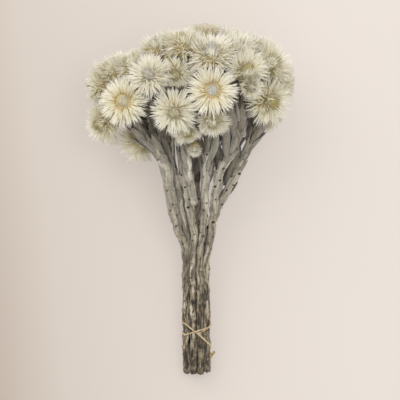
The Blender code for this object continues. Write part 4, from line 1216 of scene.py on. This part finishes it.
def bark_look():
    """Woody stem: grey bark near the cut ends, pale felt towards the heads, dark leaf scars,
    painted shade in the hollows of its relief, and darker brown towards the heads, dry bark and
    painted shade under them.
    """
    look = Look("felted_bark", 0.92, 0.35)
    older, scar, relief = look.numbers()
    age = look.scaled(older, 1.0, clamp=True)
    plates = look.grain((1.0, 1.0, 0.22), 0.42, 5.0)
    fine = look.grain((1.0, 1.0, 0.30), 2.2)
    bands = look.grain((1.0, 1.0, 0.08), 0.35)
    felt = look.ramp(look.scaled(fine, 0.35, look.scaled(bands, 0.65)), FELT_STOPS)
    worn = look.scaled(age, 1.15, look.scaled(plates, 0.9, -0.45), clamp=True)
    colour = look.blend(worn, felt, look.ramp(plates, BARK_STOPS))
    patches = look.grain((1.0, 1.0, 0.4), 0.22, 2.0)
    splits = look.off(look.grain((1.0, 1.0, 0.10), 0.30, 2.0), 0.5)
    cracks = look.off(look.grain((0.3, 0.3, 0.7), 0.4, 2.0), 0.42)
    # Rust patches, painted shade in the hollows, splits, cracks, and darker towards the cut ends
    for share, factor, stops in ((look.scaled(age, 0.8), patches, RUST_STOPS),
                                 (look.scaled(age, 0.6, 0.3), relief, HOLLOW_SHADE_STOPS),
                                 (look.scaled(age, 0.6, 0.35), splits, SPLIT_STOPS),
                                 (look.scaled(age, 0.85), cracks, CRACK_STOPS),
                                 (1.0, look.scaled(older, 0.5), FOOT_STOPS)):
        colour = look.stain(share, colour, factor, stops)
    # Darker brown towards the heads: dry bark and painted shade under them
    dry_and_shade = look.scaled(older, -2.4, clamp=True)
    colour = look.blend(look.scaled(dry_and_shade, 0.9), colour, rgb(88, 74, 52))
    colour = look.blend(look.scaled(scar, 3.4, -0.4, clamp=True), colour, rgb(40, 27, 18))
    return look.finish(colour, look.scaled(plates, 1.5, fine), 0.8, 0.0006)


def leaf_look():
    """Felted leaf: silver grey with paler edges, dry brown among the heads, and darker as painted
    shade under the heads and in the lower rows.
    """
    look = Look("felted_leaf", 0.95, 0.5)
    along, dry_and_shade, across = look.numbers()
    felt = look.grain((1.0, 0.4, 1.0), 1.6, 4.0)
    colour = look.ramp(felt, LEAF_STOPS)
    edge, tip = look.sum("POWER", look.off(across), 3.0), look.sum("POWER", along, 8.0)
    # Darkened by dryness and painted shade, paler at the edges, brown at the tip
    for factor, share, tint in ((dry_and_shade, 0.9, (88, 75, 54)), (edge, 0.5, (214, 209, 198)),
                                (tip, 0.6, (120, 96, 66))):
        colour = look.blend(look.scaled(factor, share), colour, rgb(*tint))
    return look.finish(colour, felt, 0.7, 0.0004)


def raffia_look():
    """Raffia: light tan with long fibres, darker in its grooves as painted shade."""
    look = Look("raffia", 0.6, 0.1)
    groove = look.numbers()[1]
    fibres = look.grain((2.2, 0.10, 1.0), 1.5)
    # Painted shade in the strand's grooves
    colour = look.stain(0.8, look.ramp(fibres, RAFFIA_STOPS), look.scaled(groove, 4.0),
                        ((0.0, 170, 150, 120), (0.6, *WHITE)))
    return look.finish(colour, fibres, 0.5, 0.0003)


def floor_look():
    """Pale, matt surface with a painted falloff of light, darker towards -x and -y, that glows by
    itself to lighten its shadows.
    """
    look = Look("pale_surface", 0.9, 0.0, 0.2)
    place = look.node("TexCoord")["Object"]
    soft = look.node("TexNoise", {"Vector": place, "Scale": 3.0, "Detail": 2.0})[0]
    x, y, _ = look.node("SeparateXYZ", {0: place})
    # Painted falloff of light across the floor
    share = look.scaled(x, FLOOR_PAINTED_FALLOFF[1], FLOOR_PAINTED_FALLOFF[0])
    share = look.scaled(soft, 0.06, look.scaled(y, FLOOR_PAINTED_FALLOFF[2], share))
    colour = look.ramp(share, FLOOR_FALLOFF_STOPS, "B_SPLINE")
    # The floor's glow is painted light
    look.fill(look.shader, {"Base Color": colour, "Emission Color": colour,
                            "Emission Strength": FLOOR_GLOW})
    return look.made


def make_floor():
    mesh = bpy.data.meshes.new("floor")
    far = FLOOR_SIZE / 2
    corners = [(-far, -far, 0), (far, -far, 0), (far, far, 0), (-far, far, 0)]
    mesh.from_pydata([vec(*corner) * MM for corner in corners], [], [(0, 1, 2, 3)])
    mesh.materials.append(floor_look())
    floor = put("floor", mesh, (0, 0, -FLOOR_DROP * MM))


def make_light(name, place, size, energy, colour):
    """A square soft light that faces the middle of the bunch."""
    lamp = bpy.data.lights.new(name, "AREA")
    lamp.shape = "SQUARE"
    lamp.size = size * MM
    lamp.energy = energy
    lamp.color = colour
    made = put(name, lamp, Vector(place) * MM)
    aim = Vector(LIGHT_AIM) * MM - made.location
    made.rotation_euler = aim.to_track_quat("-Z", "Y").to_euler()


def make_air():
    """An even pale light from all sides, and colours shown as they are."""
    world = bpy.data.worlds.new("air")
    world.use_nodes = True
    air = world.node_tree.nodes["Background"]
    air.inputs["Color"].default_value = rgb(*AIR_COLOUR)
    air.inputs["Strength"].default_value = AIR_STRENGTH
    bpy.context.scene.world = world
    bpy.context.scene.view_settings.view_transform = "Standard"


def make_camera():
    """A camera straight above, far enough to see the bunch as the photograph does."""
    lens = bpy.data.cameras.new("camera")
    lens.sensor_width = SENSOR
    lens.lens = SENSOR * VIEW_DISTANCE / VIEW_WIDTH
    bpy.context.scene.camera = put("camera", lens, vec(*VIEW_CENTRE, VIEW_DISTANCE) * MM)


head_rows = [(stem, *row) for stem, group in HEADS.items() for row in group]
heads = [Head(number + 1, *row) for number, row in enumerate(head_rows)]
make_room(heads)
nodes, chains = grow_net(heads)
rows = relax(nodes, chains, heads)
golden = plain_look("golden_involucre", *GOLDEN)
dress_heads(heads, [paper_look(), golden, disc_look()])
dress_stems(rows, chains, bark_look(), leaf_look())
dress_tie(raffia_look())
dress_stub(plain_look("young_twig", *YOUNG_TWIG))
make_floor()
make_light("key_light", *KEY_LIGHT)
make_light("fill_light", *FILL_LIGHT)
make_air()
make_camera()
